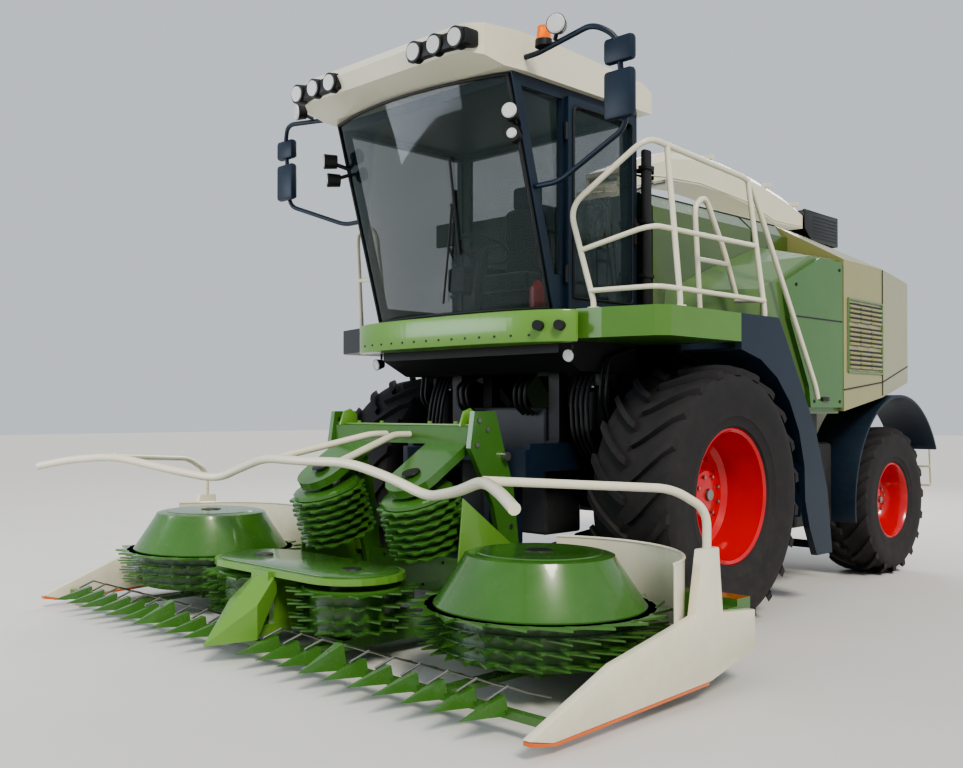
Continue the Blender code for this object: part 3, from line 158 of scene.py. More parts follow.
# Silvered mirror glass behind a thin clear face.
MIRROR, mirror_shader, mirror_at = blank("silvered_mirror_glass")
mirror_shader.inputs["Base Color"].default_value = linear("#DDE3E4")
mirror_shader.inputs["Metallic"].default_value = 1.0
smear = node(MIRROR, "ShaderNodeTexNoise", Vector=mirror_at, Scale=14.0, Detail=5.0)
gloss = node(MIRROR, "ShaderNodeMapRange", Value=smear.outputs["Fac"], i1=0.4, i2=0.8, i3=0.02, i4=0.10)
join(MIRROR, gloss.outputs["Result"], mirror_shader, "Roughness")
# Woven seat cloth: crossed threads, drawn 8 mm apart so that they show.
CLOTH, cloth_shader, cloth_at = blank("woven_seat_cloth")
across = node(CLOTH, "ShaderNodeTexWave", {"bands_direction": "X"}, Vector=cloth_at, Scale=20.0, Distortion=0.4)
along = node(CLOTH, "ShaderNodeTexWave", {"bands_direction": "Z"}, Vector=cloth_at, Scale=20.0, Distortion=0.4)
weave = node(CLOTH, "ShaderNodeMath", {"operation": "MULTIPLY"}, i0=across.outputs["Fac"], i1=along.outputs["Fac"])
tone = node(CLOTH, "ShaderNodeMix", {"data_type": "RGBA"}, Factor=weave.outputs[0])
tone.inputs["A"].default_value = linear("#24272D")
tone.inputs["B"].default_value = linear("#4A4F58")
join(CLOTH, tone.outputs["Result"], cloth_shader, "Base Color")
cloth_shader.inputs["Roughness"].default_value = 0.9
cloth_shader.inputs["Sheen Weight"].default_value = 0.4
bump = node(CLOTH, "ShaderNodeBump", Height=weave.outputs[0], Strength=0.5, Distance=0.002)
join(CLOTH, bump.outputs["Normal"], cloth_shader, "Normal")


# ---------------------------------------------------------------- shaping
def add_box(bm, low, high, bevel=0.0, turn=None):
    found = bmesh.ops.create_cube(bm, size=1.0)["verts"]
    size = [b - a for a, b in zip(low, high)]
    middle = Vector([(a + b) / 2 for a, b in zip(low, high)])
    place = Matrix.Translation(middle) @ (turn or Matrix.Identity(4)) @ Matrix.Diagonal((*size, 1))
    bmesh.ops.transform(bm, matrix=place, verts=found)
    if bevel:
        edges = list({e for v in found for e in v.link_edges})
        bmesh.ops.bevel(bm, geom=edges, offset=bevel, segments=2, profile=0.5, affect="EDGES", material=-1)


def add_rod(bm, start, end, radius, end_radius=None, sides=24):
    start, end = Vector(start), Vector(end)
    turn = (end - start).to_track_quat("Z", "Y").to_matrix().to_4x4()
    bmesh.ops.create_cone(
        bm,
        cap_ends=True,
        segments=sides,
        radius1=radius,
        radius2=radius if end_radius is None else end_radius,
        depth=(end - start).length,
        matrix=Matrix.Translation((start + end) / 2) @ turn,
    )


AT = {
    "xy": lambda a, b, n: (a, b, n),
    "yz": lambda a, b, n: (n, a, b),
    "xz": lambda a, b, n: (a, n, b),
}


def add_slab(bm, outline, plane, low, high, bevel=0.0):
    """A flat outline pulled through its plane's normal, with eased edges."""
    start = [bm.verts.new(AT[plane](a, b, low)) for a, b in outline]
    face = bm.faces.new(start)
    pulled = bmesh.ops.extrude_face_region(bm, geom=[face])["geom"]
    top = [v for v in pulled if isinstance(v, bmesh.types.BMVert)]
    bmesh.ops.translate(bm, verts=top, vec=AT[plane](0, 0, high - low))
    if bevel:
        rims = list({e for v in top + start for e in v.link_edges})
        bmesh.ops.bevel(bm, geom=rims, offset=bevel, segments=2, profile=0.5, affect="EDGES", material=-1)
    return start + top


def placed(bm, place, add, *sizes):
    """Shape something about the origin, then put it in place."""
    before = set(bm.verts)
    add(bm, *sizes)
    bmesh.ops.transform(bm, matrix=place, verts=[v for v in bm.verts if v not in before])


def add_ring(bm, profile, place, steps=64, closed=False):
    """Spin a profile of (radius, height) about its own Z, then put it in place."""
    verts = [bm.verts.new((r, 0, z)) for r, z in profile]
    edges = [bm.edges.new(pair) for pair in zip(verts, verts[1:])]
    if closed:
        edges.append(bm.edges.new((verts[-1], verts[0])))
    before = set(bm.verts) - set(verts)
    bmesh.ops.spin(
        bm, geom=verts + edges, cent=(0, 0, 0), axis=(0, 0, 1), angle=math.tau, steps=steps, use_merge=True
    )
    fresh = [v for v in bm.verts if v not in before]
    bmesh.ops.transform(bm, matrix=place, verts=fresh)
    bmesh.ops.remove_doubles(bm, verts=fresh, dist=1e-5)


def piece(name, bm, material, body="machine", sharp=32, stands_for=()):
    """Turn what was shaped into a finished piece that rides on a body."""
    bmesh.ops.recalc_face_normals(bm, faces=bm.faces)
    bmesh.ops.transform(bm, matrix=TO_ROW, verts=bm.verts)
    mesh = bpy.data.meshes.new(name)
    bm.to_mesh(mesh)
    bm.free()
    mesh.shade_smooth()
    mesh.set_sharp_from_angle(angle=math.radians(sharp))
    made = bpy.data.objects.new(name, mesh)
    made.data.materials.append(material)
    COLLECTION.objects.link(made)
    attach(made, body)
    if stands_for:
        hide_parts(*stands_for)
    return made


def rounded(points, radius, steps=8):
    points = [Vector(p) for p in points]
    path = [points[0]]
    for before, corner, after in zip(points, points[1:], points[2:]):
        back, ahead = before - corner, after - corner
        reach = min(radius, back.length * 0.45, ahead.length * 0.45)
        start, end = corner + back.normalized() * reach, corner + ahead.normalized() * reach
        path += [start * (1 - t) ** 2 + corner * 2 * t * (1 - t) + end * t**2 for t in (k / steps for k in range(steps + 1))]
    return path + [points[-1]]


def pipes(name, runs, material, body="machine", stands_for=()):
    """Bent tubes as one piece; each run is (points, radius, bend)."""
    curve = bpy.data.curves.new(name, "CURVE")
    curve.dimensions = "3D"
    curve.bevel_depth = 1.0
    curve.bevel_resolution = 3
    curve.use_fill_caps = True
    for points, radius, bend in runs:
        path = rounded(points, bend) if bend else [Vector(p) for p in points]
        spline = curve.splines.new("POLY")
        spline.points.add(len(path) - 1)
        for point, at in zip(spline.points, path):
            point.co = (*(TO_ROW @ at), 1.0)
            point.radius = radius
        spline.use_smooth = True
    made = bpy.data.objects.new(name, curve)
    made.data.materials.append(material)
    COLLECTION.objects.link(made)
    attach(made, body)
    if stands_for:
        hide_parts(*stands_for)
    return made


SIDES = ((1, "left"), (-1, "right"))


def flip(points, side):
    return [(side * p[0], *p[1:]) for p in points]


def wide(near, far, side):
    """Low and high x of a span on one side."""
    return tuple(sorted((side * near, side * far)))


# ---------------------------------------------------------------- wheels
def wheel(word, side, spot, radius, half, bead, lugs, body):
    """A tractor tyre with raised bars and lettering-free sidewalls, and its dished, bolted rim."""
    place = Matrix.Translation(spot) @ Matrix.Rotation(side * math.pi / 2, 4, "Y")
    tread = radius - 0.042
    rise = tread - bead
    wall = [(bead + 0.002, half * 0.78), (bead + 0.02, half * 0.87), (bead + rise * 0.18, half * 0.90)]
    wall += [(bead + rise * 0.22, half * 0.935), (bead + rise * 0.27, half * 0.925)]
    wall += [(bead + rise * 0.50, half * 0.985), (bead + rise * 0.70, half), (bead + rise * 0.84, half * 0.975)]
    wall += [(bead + rise * 0.93, half * 0.90), (tread - 0.006, half * 0.76), (tread, half * 0.4), (tread, 0.0)]
    profile = wall + [(r, -z) for r, z in reversed(wall[:-1])]
    bm = bmesh.new()
    add_ring(bm, profile, place, 96, closed=True)
    for row in (1, -1):
        for k in range(lugs):
            base = bmesh.ops.create_grid(bm, x_segments=5, y_segments=1, size=0.5)["verts"]
            faces = list({f for v in base for f in v.link_faces})
            pulled = bmesh.ops.extrude_face_region(bm, geom=faces, use_keep_orig=True)["geom"]
            top = [v for v in pulled if isinstance(v, bmesh.types.BMVert)]
            bmesh.ops.translate(bm, verts=top, vec=(0, 0, 1))
            bar = set(base) | set(top)
            start = math.tau * (k + (0.5 if row < 0 else 0.0)) / lugs
            for v in bar:
                t, across, high = v.co.x + 0.5, v.co.y, v.co.z
                width = (0.064 - 0.014 * high) * (0.85 + 0.35 * t)
                angle = start - side * 0.40 * t**1.25 * (22 / lugs) * 0.8 + across * width / tread
                crown = radius - 0.030 * max(0.0, t - 0.72) / 0.28
                reach = crown if high > 0.5 else tread - 0.03 - 0.03 * max(0.0, t - 0.8)
                v.co = (reach * math.cos(angle), reach * math.sin(angle), row * half * (0.02 + 0.93 * t))
            bmesh.ops.transform(bm, matrix=place, verts=list(bar))
    piece(f"tread_{word}", bm, RUBBER, body, 28, [f"tyre_{word}"])

    lip = half * 0.80
    face = half * -0.12
    outer = [(bead + 0.012, lip + 0.004), (bead - 0.004, lip + 0.012), (bead * 0.95, lip - 0.004), (bead * 0.92, lip * 0.75)]
    outer += [(bead * 0.86, half * 0.34), (bead * 0.82, face + 0.045), (bead * 0.74, face + 0.01), (bead * 0.50, face)]
    outer += [(bead * 0.46, face + 0.02), (bead * 0.40, face + 0.045), (bead * 0.36, face + 0.10), (bead * 0.20, face + 0.115)]
    outer += [(0.0, face + 0.115)]
    inner = [(0.0, face - 0.055), (bead * 0.60, face - 0.05), (bead * 0.88, face - 0.06), (bead * 0.93, -lip * 0.8)]
    inner += [(bead * 0.96, -lip), (bead + 0.010, -lip - 0.004), (bead - 0.004, -lip * 0.9), (bead - 0.004, lip * 0.9)]
    bm = bmesh.new()
    add_ring(bm, outer + inner, place, 72, closed=True)
    for k in range(12):
        angle = math.tau * k / 12
        for reach, size, height in ((bead * 0.60, 0.020, 0.030),):
            start = place @ Vector((reach * math.cos(angle), reach * math.sin(angle), face))
            end = place @ Vector((reach * math.cos(angle), reach * math.sin(angle), face + height))
            add_rod(bm, start, end, size, size * 0.85, 6)
    piece(f"dish_{word}", bm, RED, body, 35, [f"rim_{word}"])
    bm = bmesh.new()
    for k in range(8):
        angle = math.tau * (k + 0.5) / 8
        at = Vector((bead * 0.29 * math.cos(angle), bead * 0.29 * math.sin(angle), face + 0.10))
        add_rod(bm, place @ at, place @ (at + Vector((0, 0, 0.026))), 0.014, 0.012, 6)
    add_rod(bm, place @ Vector((0, 0, face + 0.11)), place @ Vector((0, 0, face + 0.135)), bead * 0.10, bead * 0.085, 24)
    piece(f"hub_bolts_{word}", bm, STEEL, body)


for side, word in SIDES:
    wheel(f"front_{word}", side, (side * 1.355, 0, 0.925), 0.925, 0.325, 0.4725, 22, f"wheel_front_{word}")
    wheel(f"rear_{word}", side, (side * 1.16, 3.337, 0.686), 0.686, 0.25, 0.343, 19, f"wheel_rear_{word}")


# ---------------------------------------------------------------- cab
def screen_y(x, z, proud=0.0):
    lean = -1.02 - 0.48 * (z - 2.0503) / (3.74 - 2.0503)
    return lean - 0.001 - 0.16 * (1 - (x / 0.88) ** 2) - proud


bm = bmesh.new()
bmesh.ops.create_grid(bm, x_segments=48, y_segments=8, size=1.0)
for v in bm.verts:
    x, z = v.co.x * 0.88, 2.215 + (v.co.y + 1) / 2 * 1.52
    v.co = (x, screen_y(x, z), z)
bmesh.ops.solidify(bm, geom=bm.faces[:], thickness=0.006)
piece("curved_screen", bm, GLASS, stands_for=["windscreen"])

# Black rubber seal round the screen.
edge = [(x / 20 * 0.872, 2.225) for x in range(-20, 21)]
edge = [(x, screen_y(x, z, 0.006), z) for x, z in edge]
edge += [(0.872, screen_y(0.872, z, 0.006), z) for z in (2.7, 3.2, 3.70)]
edge += [(x / 20 * 0.872, screen_y(x / 20 * 0.872, 3.722, 0.006), 3.722) for x in range(20, -21, -1)]
edge += [(-0.872, screen_y(0.872, z, 0.006), z) for z in (3.2, 2.7, 2.225)]
pipes("screen_seal", [(edge, 0.011, 0)], BLACK)

wiper = [(0.05, screen_y(0.05, 2.30, 0.03), 2.30), (0.18, screen_y(0.18, 2.62, 0.03), 2.62)]
wiper += [(0.30, screen_y(0.30, 2.95, 0.03), 2.95)]
blade = [(0.27 + 0.02 * k / 4 * 4, screen_y(0.29, 2.62 + 0.16 * k, 0.014), 2.62 + 0.16 * k) for k in range(5)]
pipes("screen_wiper", [(wiper, 0.008, 0), (blade, 0.010, 0)], BLACK)


def pane(name, plane, outline, low, high, body="machine"):
    bm = bmesh.new()
    add_slab(bm, outline, plane, low, high, 0.001)
    piece(name, bm, GLASS, body)


pane("rear_glass", "xz", [(-0.79, 2.74), (0.79, 2.74), (0.79, 3.67), (-0.79, 3.67)], -0.135, -0.129)
pane("right_glass", "yz", [(-1.02, 2.33), (-0.165, 2.33), (-0.165, 3.67), (-1.40, 3.67)], -0.872, -0.866)
pane("quarter_glass", "yz", [(-1.055, 2.44), (-0.975, 2.44), (-0.975, 3.665), (-1.405, 3.665)], 0.866, 0.872)
pane("door_glass", "yz", [(-0.90, 2.30), (-0.21, 2.30), (-0.21, 3.625), (-0.90, 3.625)], 0.914, 0.920, "door")

bm = bmesh.new()
seal = [(-0.90, 2.30), (-0.21, 2.30), (-0.21, 3.625), (-0.90, 3.625)]
for z in (2.40, 3.38):
    add_rod(bm, (0.918, -0.954, z), (0.918, -0.954, z + 0.12), 0.0172)
add_box(bm, (0.936, -0.205, 2.74), (0.958, -0.172, 2.93), 0.006)
add_box(bm, (0.936, -0.215, 2.86), (0.972, -0.165, 2.90), 0.008)
piece("door_fittings", bm, BLACK, "door")
rim = [(0.938, y, z) for y, z in seal]
pipes("door_seal", [(rim + [rim[0]], 0.009, 0.05)], BLACK, "door")

# Padded seat: a crowned cushion and back.
for name, low, high in (
    ("seat_cushion", (-0.25, -0.62, 2.44), (0.25, -0.20, 2.59)),
    ("seat_back", (-0.24, -0.32, 2.60), (0.24, -0.19, 3.14)),
):
    bm = bmesh.new()
    add_box(bm, low, high)
    bmesh.ops.subdivide_edges(bm, edges=bm.edges[:], cuts=5, use_grid_fill=True)
    middle = Vector([(a + b) / 2 for a, b in zip(low, high)])
    for _ in range(3):
        bmesh.ops.smooth_vert(bm, verts=bm.verts[:], factor=0.35, use_axis_x=True, use_axis_y=True, use_axis_z=True)
    made = piece(name, bm, CLOTH, sharp=80, stands_for=["driver_seat"] if name == "seat_cushion" else ())
    soft = made.modifiers.new("crown", "SUBSURF")
    soft.levels = soft.render_levels = 2
bm = bmesh.new()
add_box(bm, (-0.17, -0.56, 2.085), (0.17, -0.26, 2.455), 0.02)
add_box(bm, (-0.50, -0.70, 2.46), (-0.31, -0.22, 2.66), 0.03)
add_box(bm, (-0.44, -0.50, 2.28), (-0.10, -0.36, 2.48), 0.02)
add_box(bm, (-0.46, -0.86, 2.80), (-0.24, -0.83, 2.98), 0.012)
add_rod(bm, (-0.40, -0.64, 2.64), (-0.37, -0.84, 2.84), 0.014)
add_rod(bm, (-0.40, -0.50, 2.65), (-0.40, -0.53, 2.80), 0.022, 0.03)
for side in (1, -1):
    add_box(bm, (*[wide(0.26, 0.31, side)[0]], -0.52, 2.62), (wide(0.26, 0.31, side)[1], -0.24, 2.67), 0.015)
add_box(bm, (-0.13, -0.33, 3.12), (0.13, -0.25, 3.30), 0.03)
piece("seat_and_console", bm, TRIM)
bm = bmesh.new()
add_rod(bm, (0.60, -0.88, 2.085), (0.60, -0.88, 2.40), 0.062, None, 32)
add_rod(bm, (0.60, -0.88, 2.40), (0.60, -0.88, 2.45), 0.055, 0.02, 32)
piece("fire_extinguisher", bm, RED)

# Roof lamps, beacons, pillar lamps and work lamps.
bm = bmesh.new()
shells = bmesh.new()
for side in (1, -1):
    for x in (0.44, 0.63, 0.82):
        y = -1.938
        add_rod(bm, (side * x, y + 0.03, 3.872), (side * x, y - 0.018, 3.866), 0.060, 0.054, 32)
        add_rod(shells, (side * x, y + 0.06, 3.874), (side * x, y - 0.010, 3.868), 0.072, 0.068, 32)
    near, far = wide(0.36, 0.90, side)
    add_box(shells, (near, -1.934, 3.815), (far, -1.80, 3.925), 0.02)
piece("roof_lamps", bm, CLEAR)
piece("roof_lamp_shells", shells, BLACK)
bm = bmesh.new()
low = bmesh.new()
for side in (1, -1):
    add_rod(bm, (side * 1.13, -1.45, 3.885), (side * 1.13, -1.45, 3.975), 0.050, 0.040, 32)
    add_rod(low, (side * 1.13, -1.45, 3.845), (side * 1.13, -1.45, 3.889), 0.056, 0.054, 32)
    add_rod(low, (side * 0.90, -1.50, 3.45), (side * 0.955, -1.585, 3.45), 0.052, 0.058, 24)
    add_rod(low, (side * 0.90, -1.47, 3.31), (side * 0.950, -1.555, 3.31), 0.048, 0.054, 24)
piece("beacon_domes", bm, AMBER)
piece("pillar_lamps", low, BLACK)
bm = bmesh.new()
low = bmesh.new()
for side in (1, -1):
    add_rod(bm, (side * 0.956, -1.587, 3.45), (side * 0.961, -1.596, 3.45), 0.050, 0.044, 32)
    add_rod(bm, (side * 0.951, -1.557, 3.31), (side * 0.956, -1.566, 3.31), 0.034, 0.028, 32)
    add_rod(low, (side * 0.86, -1.40, 3.40), (side * 0.925, -1.53, 3.44), 0.016, None, 12)
    add_rod(low, (side * 0.86, -1.40, 3.36), (side * 0.920, -1.50, 3.32), 0.014, None, 12)
    add_rod(low, (side * 1.24, -1.47, 3.86), (side * 1.30, -1.52, 3.90), 0.014, None, 12)
    add_rod(low, (side * 1.30, -1.50, 3.918), (side * 1.325, -1.57, 3.912), 0.050, 0.064, 32)
    add_rod(bm, (side * 1.325, -1.571, 3.912), (side * 1.328, -1.580, 3.911), 0.060, 0.052, 32)
piece("work_lamp_lenses", bm, CLEAR)
piece("work_lamp_bodies", low, BLACK)

bm = bmesh.new()
for side in (1, -1):
    near, far = wide(0.955, 1.005, side)
    add_box(bm, (near, -0.14, 2.2105), (far, -0.05, 3.45), 0.02)
    for z in (2.5, 2.9, 3.3):
        add_box(bm, (near - 0.01, -0.15, z), (far + 0.01, -0.04, z + 0.03), 0.005)
piece("rear_pillar_ducts", bm, BLACK)

# ---------------------------------------------------------------- decks, rails and ladder
bm = bmesh.new()
front = []
for k in range(49):
    x = 1.10 * math.sin(math.pi / 2 * (k / 24 - 1))
    front.append((x, -1.0635 - 0.2765 * (1 - abs(x / 1.10) ** 3.2) ** 0.625))
add_slab(bm, front, "xy", 1.98, 2.20, 0.012)
piece("bowed_bumper", bm, LIGHT_GREEN, stands_for=["front_bumper"])
bm = bmesh.new()
for x, y in ((1.02, -1.16), (0.90, -1.235)):
    add_rod(bm, (x, y + 0.02, 2.09), (x + 0.03, y - 0.05, 2.09), 0.036, 0.034, 24)
for k in range(14):
    x = -0.85 + 0.13 * k
    y = -1.0635 - 0.2765 * (1 - abs(x / 1.10) ** 3.2) ** 0.625
    add_rod(bm, (x, y + 0.004, 2.03), (x, y - 0.005, 2.03), 0.009, 0.008, 6)
piece("bumper_bosses", bm, BLACK)

r = 0.02
z0 = 2.2105
top = [(1.12, -0.92, z0), (1.12, -0.92, z0 + 0.05), (1.02, -1.05, 2.89), (1.50, -0.85, 3.31), (1.50, 0.47, 3.23)]
top += [(1.60, 1.30, 1.72), (1.60, 1.34, 1.62)]
hoop = [(1.40, -0.05, z0), (1.40, -0.12, 2.98), (1.40, 0.02, 3.06), (1.40, 0.30, 2.66), (1.40, 0.47, 2.33)]
rails = [
    (top, r, 0.12),
    ([(1.104, -0.941, 2.33), (1.58, -0.86, 2.33), (1.60, -0.62, 2.33), (1.60, 0.50, 2.33)], r * 0.9, 0.08),
    ([(1.064, -0.992, 2.60), (1.54, -0.86, 2.73), (1.55, 0.47, 2.735)], r * 0.9, 0.12),
    ([(1.60, -0.62, z0), (1.60, -0.62, z0 + 0.05), (1.50, -0.62, 3.31)], r, 0.03),
    ([(1.60, 0.50, z0), (1.60, 0.50, z0 + 0.05), (1.50, 0.44, 3.23)], r, 0.03),
    (hoop, r, 0.10),
    ([(1.40, -0.086, 2.60), (1.40, 0.33, 2.60)], r * 0.9, 0),
    ([(1.39, 0.455, 2.345), (1.60, 0.455, 2.33)], r * 0.9, 0),
]
pipes("platform_rails_left", rails, CREAM, stands_for=["railing_left"])
loop = [(-1.05, -0.86, z0), (-1.06, -0.96, 3.02), (-1.42, -0.86, 3.06), (-1.50, -0.74, z0)]
rails = [(loop, r, 0.12), ([(-1.056, -0.91, 2.62), (-1.458, -0.80, 2.64)], r * 0.9, 0)]
pipes("platform_rails_right", rails, CREAM, stands_for=["railing_right"])

# Foot plates of the rails, and grip strips on the deck and the steps.
bm = bmesh.new()
for x, y in ((1.12, -0.92), (1.60, -0.62), (1.40, -0.05), (-1.05, -0.86), (-1.50, -0.74)):
    add_rod(bm, (x, y, 2.2105), (x, y, 2.2205), 0.042, 0.040, 24)
piece("rail_foot_plates", bm, CREAM)
bm = bmesh.new()
for side, word in SIDES:
    for k in range(9):
        near, far = wide(1.02, 1.50, side)
        y = -0.78 + 0.095 * k
        add_box(bm, (near, y, 2.2101), (far, y + 0.022, 2.2175), 0.003)
    for z, y in ((0.45, 1.24), (0.80, 1.22), (1.15, 1.10), (1.50, 0.92), (1.85, 0.62)):
        near, far = wide(1.17, 1.59, side)
        for k in range(5):
            at = y + 0.012 + 0.030 * k
            add_box(bm, (near, at, z + 0.0352), (far, at + 0.014, z + 0.043), 0.003)
piece("grip_strips", bm, BLACK)

for side, word in SIDES:
    band = []
    angles = [math.radians(a) for a in range(28, 189, 4)]
    for reach, run in ((0.985, angles), (0.96, angles[::-1])):
        band += [(3.337 + reach * math.cos(a), 0.686 + reach * math.sin(a)) for a in run]
    bm = bmesh.new()
    near, far = wide(1.0, 1.45, side)
    add_slab(bm, band, "yz", near, far, 0.006)
    near, far = wide(1.05, 1.16, side)
    add_slab(bm, [(3.25, 1.655), (3.45, 1.655), (3.45, 1.715), (3.25, 1.69)], "yz", near, far, 0.004)
    piece(f"rear_mudguard_{word}", bm, NAVY, stands_for=[f"fender_rear_{word}"])

# ---------------------------------------------------------------- mirrors
for side, word in SIDES:
    arm = [(0.9505, -1.42, 3.83), (1.05, -1.42, 3.83), (1.55, -1.49, 3.87), (1.68, -1.42, 3.78), (1.70, -1.36, 3.24)]
    arm += [(1.10, -1.2554, 3.02), (0.9005, -1.2554, 3.02)]
    pipes(f"mirror_arm_{word}", [(flip(arm, side), 0.018, 0.08)], NAVY, stands_for=[f"mirror_{word}"])
    shell, face = bmesh.new(), bmesh.new()
    for low, high in ((3.62, 3.78), (3.28, 3.58)):
        near, far = wide(1.58, 1.79, side)
        add_box(shell, (near, -1.44, low), (far, -1.370, high), 0.028)
        add_box(face, (near + 0.018, -1.371, low + 0.018), (far - 0.018, -1.366, high - 0.018), 0.002)
    piece(f"mirror_shells_{word}", shell, NAVY)
    piece(f"mirror_faces_{word}", face, MIRROR)

# ---------------------------------------------------------------- body panels
for side, word in SIDES:
    at = lambda y: side * (1.503 - 0.04 * (y - 2.03) / 0.87)
    # The black boxes behind the slats are painted shade: they stand for the dark inside of the grille openings.
    opening_shade, slats = bmesh.new(), bmesh.new()
    for row in range(3):
        for column in range(3):
            y = 2.14 + 0.245 * column
            z = 1.88 + 0.20 * row
            near, far = sorted((at(y) - side * 0.012, at(y) + side * 0.001))
            add_box(opening_shade, (near, y, z), (far, y + 0.215, z + 0.165))
            for k in range(4):
                lean = Matrix.Rotation(side * math.radians(38), 4, "Y")
                zz = z + 0.008 + 0.040 * k
                blade = ((near - 0.002, y + 0.004, zz), (far + 0.010, y + 0.211, zz + 0.020))
                add_box(slats, *blade, 0.003, lean)
    piece(f"grille_painted_shade_{word}", opening_shade, BLACK)
    piece(f"grille_slats_{word}", slats, SAND)
    bm = bmesh.new()
    frame_line = [(2.115, 1.855), (2.885, 1.855), (2.885, 2.475), (2.115, 2.475)]
    for (y1, z1), (y2, z2) in zip(frame_line, frame_line[1:] + frame_line[:1]):
        add_rod(bm, (at(y1), y1, z1), (at(y2), y2, z2), 0.011, None, 12)
    piece(f"grille_frame_{word}", bm, POD_GREEN)
    # Dark seams between panels, a lower skirt line, latches and handles.
    seams = [
        ([(side * 1.502, 2.034, 1.70), (side * 1.462, 2.90, 1.78), (side * 1.252, 3.99, 1.96)], 0.006, 0),
        ([(side * 1.462, 2.90, 1.66), (side * 1.462, 2.90, 2.79)], 0.005, 0),
        ([(side * 0.8805, 0.0, 3.162), (side * 0.8805, 2.02, 3.162)], 0.005, 0),
        ([(side * 1.002, 1.40, 2.90), (side * 1.002, 1.40, 3.04), (side * 0.882, 1.40, 3.16)], 0.005, 0),
        ([(side * 1.4975, 1.12, 2.27), (side * 1.4975, 2.00, 2.27)], 0.005, 0),
    ]
    pipes(f"panel_seams_{word}", seams[:4], BLACK)
    pipes(f"door_seam_{word}", seams[4:], BLACK, f"side_door_{word}")
    bm = bmesh.new()
    near, far = wide(1.495, 1.512, side)
    add_box(bm, (near, 1.62, 1.60), (far, 1.74, 1.635), 0.006)
    for y, z in ((1.50, 1.60), (1.96, 1.60), (1.96, 2.70), (1.20, 2.52)):
        add_rod(bm, (side * 1.494, y, z), (side * 1.502, y, z), 0.014, 0.012, 12)
    piece(f"door_latches_{word}", bm, BLACK, f"side_door_{word}")

bm = bmesh.new()
for k in range(9):
    add_box(bm, (-0.42, 4.125, 2.02 + 0.06 * k), (0.42, 4.148, 2.045 + 0.06 * k), 0.004)
piece("rear_air_grille", bm, BLACK)
bm = bmesh.new()
for side in (1, -1):
    near, far = wide(0.90, 1.08, side)
    add_box(bm, (near, 4.018, 1.98), (far, 4.062, 2.10), 0.01)
piece("tail_lamps", bm, AMBER)
bm = bmesh.new()
for y in (-0.02, 0.9, 1.98):
    for k in range(5):
        add_rod(bm, (-0.8 + 0.4 * k, y, 3.158), (-0.8 + 0.4 * k, y, 3.166), 0.010, 0.009, 6)
piece("hood_bolts", bm, BLACK)

# ---------------------------------------------------------------- spout
bm = bmesh.new()
add_ring(bm, [(0.0, 0.08), (0.19, 0.08), (0.20, 0.07), (0.255, 0.07), (0.27, 0.055), (0.27, 0.0005), (0.0, 0.0005)],
         Matrix.Translation((0, 0.75, 3.30)), 72)
for k in range(16):
    angle = math.tau * k / 16
    at = Vector((0.232 * math.cos(angle), 0.75 + 0.232 * math.sin(angle), 3.368))
    add_rod(bm, at, at + Vector((0, 0, 0.016)), 0.011, 0.010, 6)
elbow = [(0.52, 3.34), (0.98, 3.34), (0.98, 3.44), (0.90, 3.50), (0.80, 3.53), (0.75, 3.50), (0.60, 3.42), (0.52, 3.40)]
add_slab(bm, elbow, "yz", -0.1545, 0.1545, 0.006)
piece("turret_ring_and_elbow", bm, CREAM, "spout_turret", stands_for=["spout_base"])

bm = bmesh.new()
top = [(0.69, 3.58), (0.75, 3.60), (1.08, 3.74), (1.48, 3.86), (1.80, 3.905), (2.10, 3.93), (2.47, 3.91)]
top += [(3.04, 3.86), (3.62, 3.76), (3.966, 3.675)]
low = [(3.966, 3.46), (3.36, 3.45), (2.76, 3.57), (2.35, 3.605), (1.95, 3.62), (1.39, 3.59), (1.20, 3.54), (0.96, 3.545), (0.69, 3.542)]
verts = add_slab(bm, top + low, "yz", -0.18, 0.18)
ridge = []
tops = {(round(y, 4), round(z, 4)) for y, z in top[1:]}
for e in {e for v in verts for e in v.link_edges}:
    ends = [(round(v.co.y, 4), round(v.co.z, 4)) for v in e.verts]
    if all(end in tops for end in ends) and abs(e.verts[0].co.x - e.verts[1].co.x) < 1e-6:
        ridge.append(e)
bmesh.ops.bevel(bm, geom=ridge, offset=0.075, segments=1, profile=0.5, affect="EDGES", material=-1)
for side in (1, -1):
    near, far = wide(0.155, 0.18, side)
    cheek = [(0.68, 3.44), (0.82, 3.42), (1.20, 3.55), (1.20, 3.66), (0.70, 3.57)]
    add_slab(bm, cheek, "yz", near, far, 0.004)
for y, z in ((2.16, 3.925), (3.25, 3.822), (3.84, 3.710)):
    add_box(bm, (-0.19, y - 0.02, z - 0.03), (0.19, y + 0.02, z + 0.012), 0.004)
piece("curved_spout", bm, CREAM, "spout", 20, ["spout_arm"])
lines = []
for side in (1, -1):
    lines.append(([(side * 0.1815, y, z) for y, z in ((0.9, 3.56), (1.39, 3.61), (1.95, 3.64), (2.76, 3.59), (3.36, 3.47), (3.95, 3.48))], 0.006, 0))
pipes("spout_lower_flange", lines, CREAM, "spout")
pipes("spout_ram", [([(0.09, 1.02, 3.43), (0.09, 1.30, 3.54)], 0.022, 0), ([(0.09, 1.25, 3.52), (0.09, 1.50, 3.585)], 0.012, 0)], STEEL, "spout")

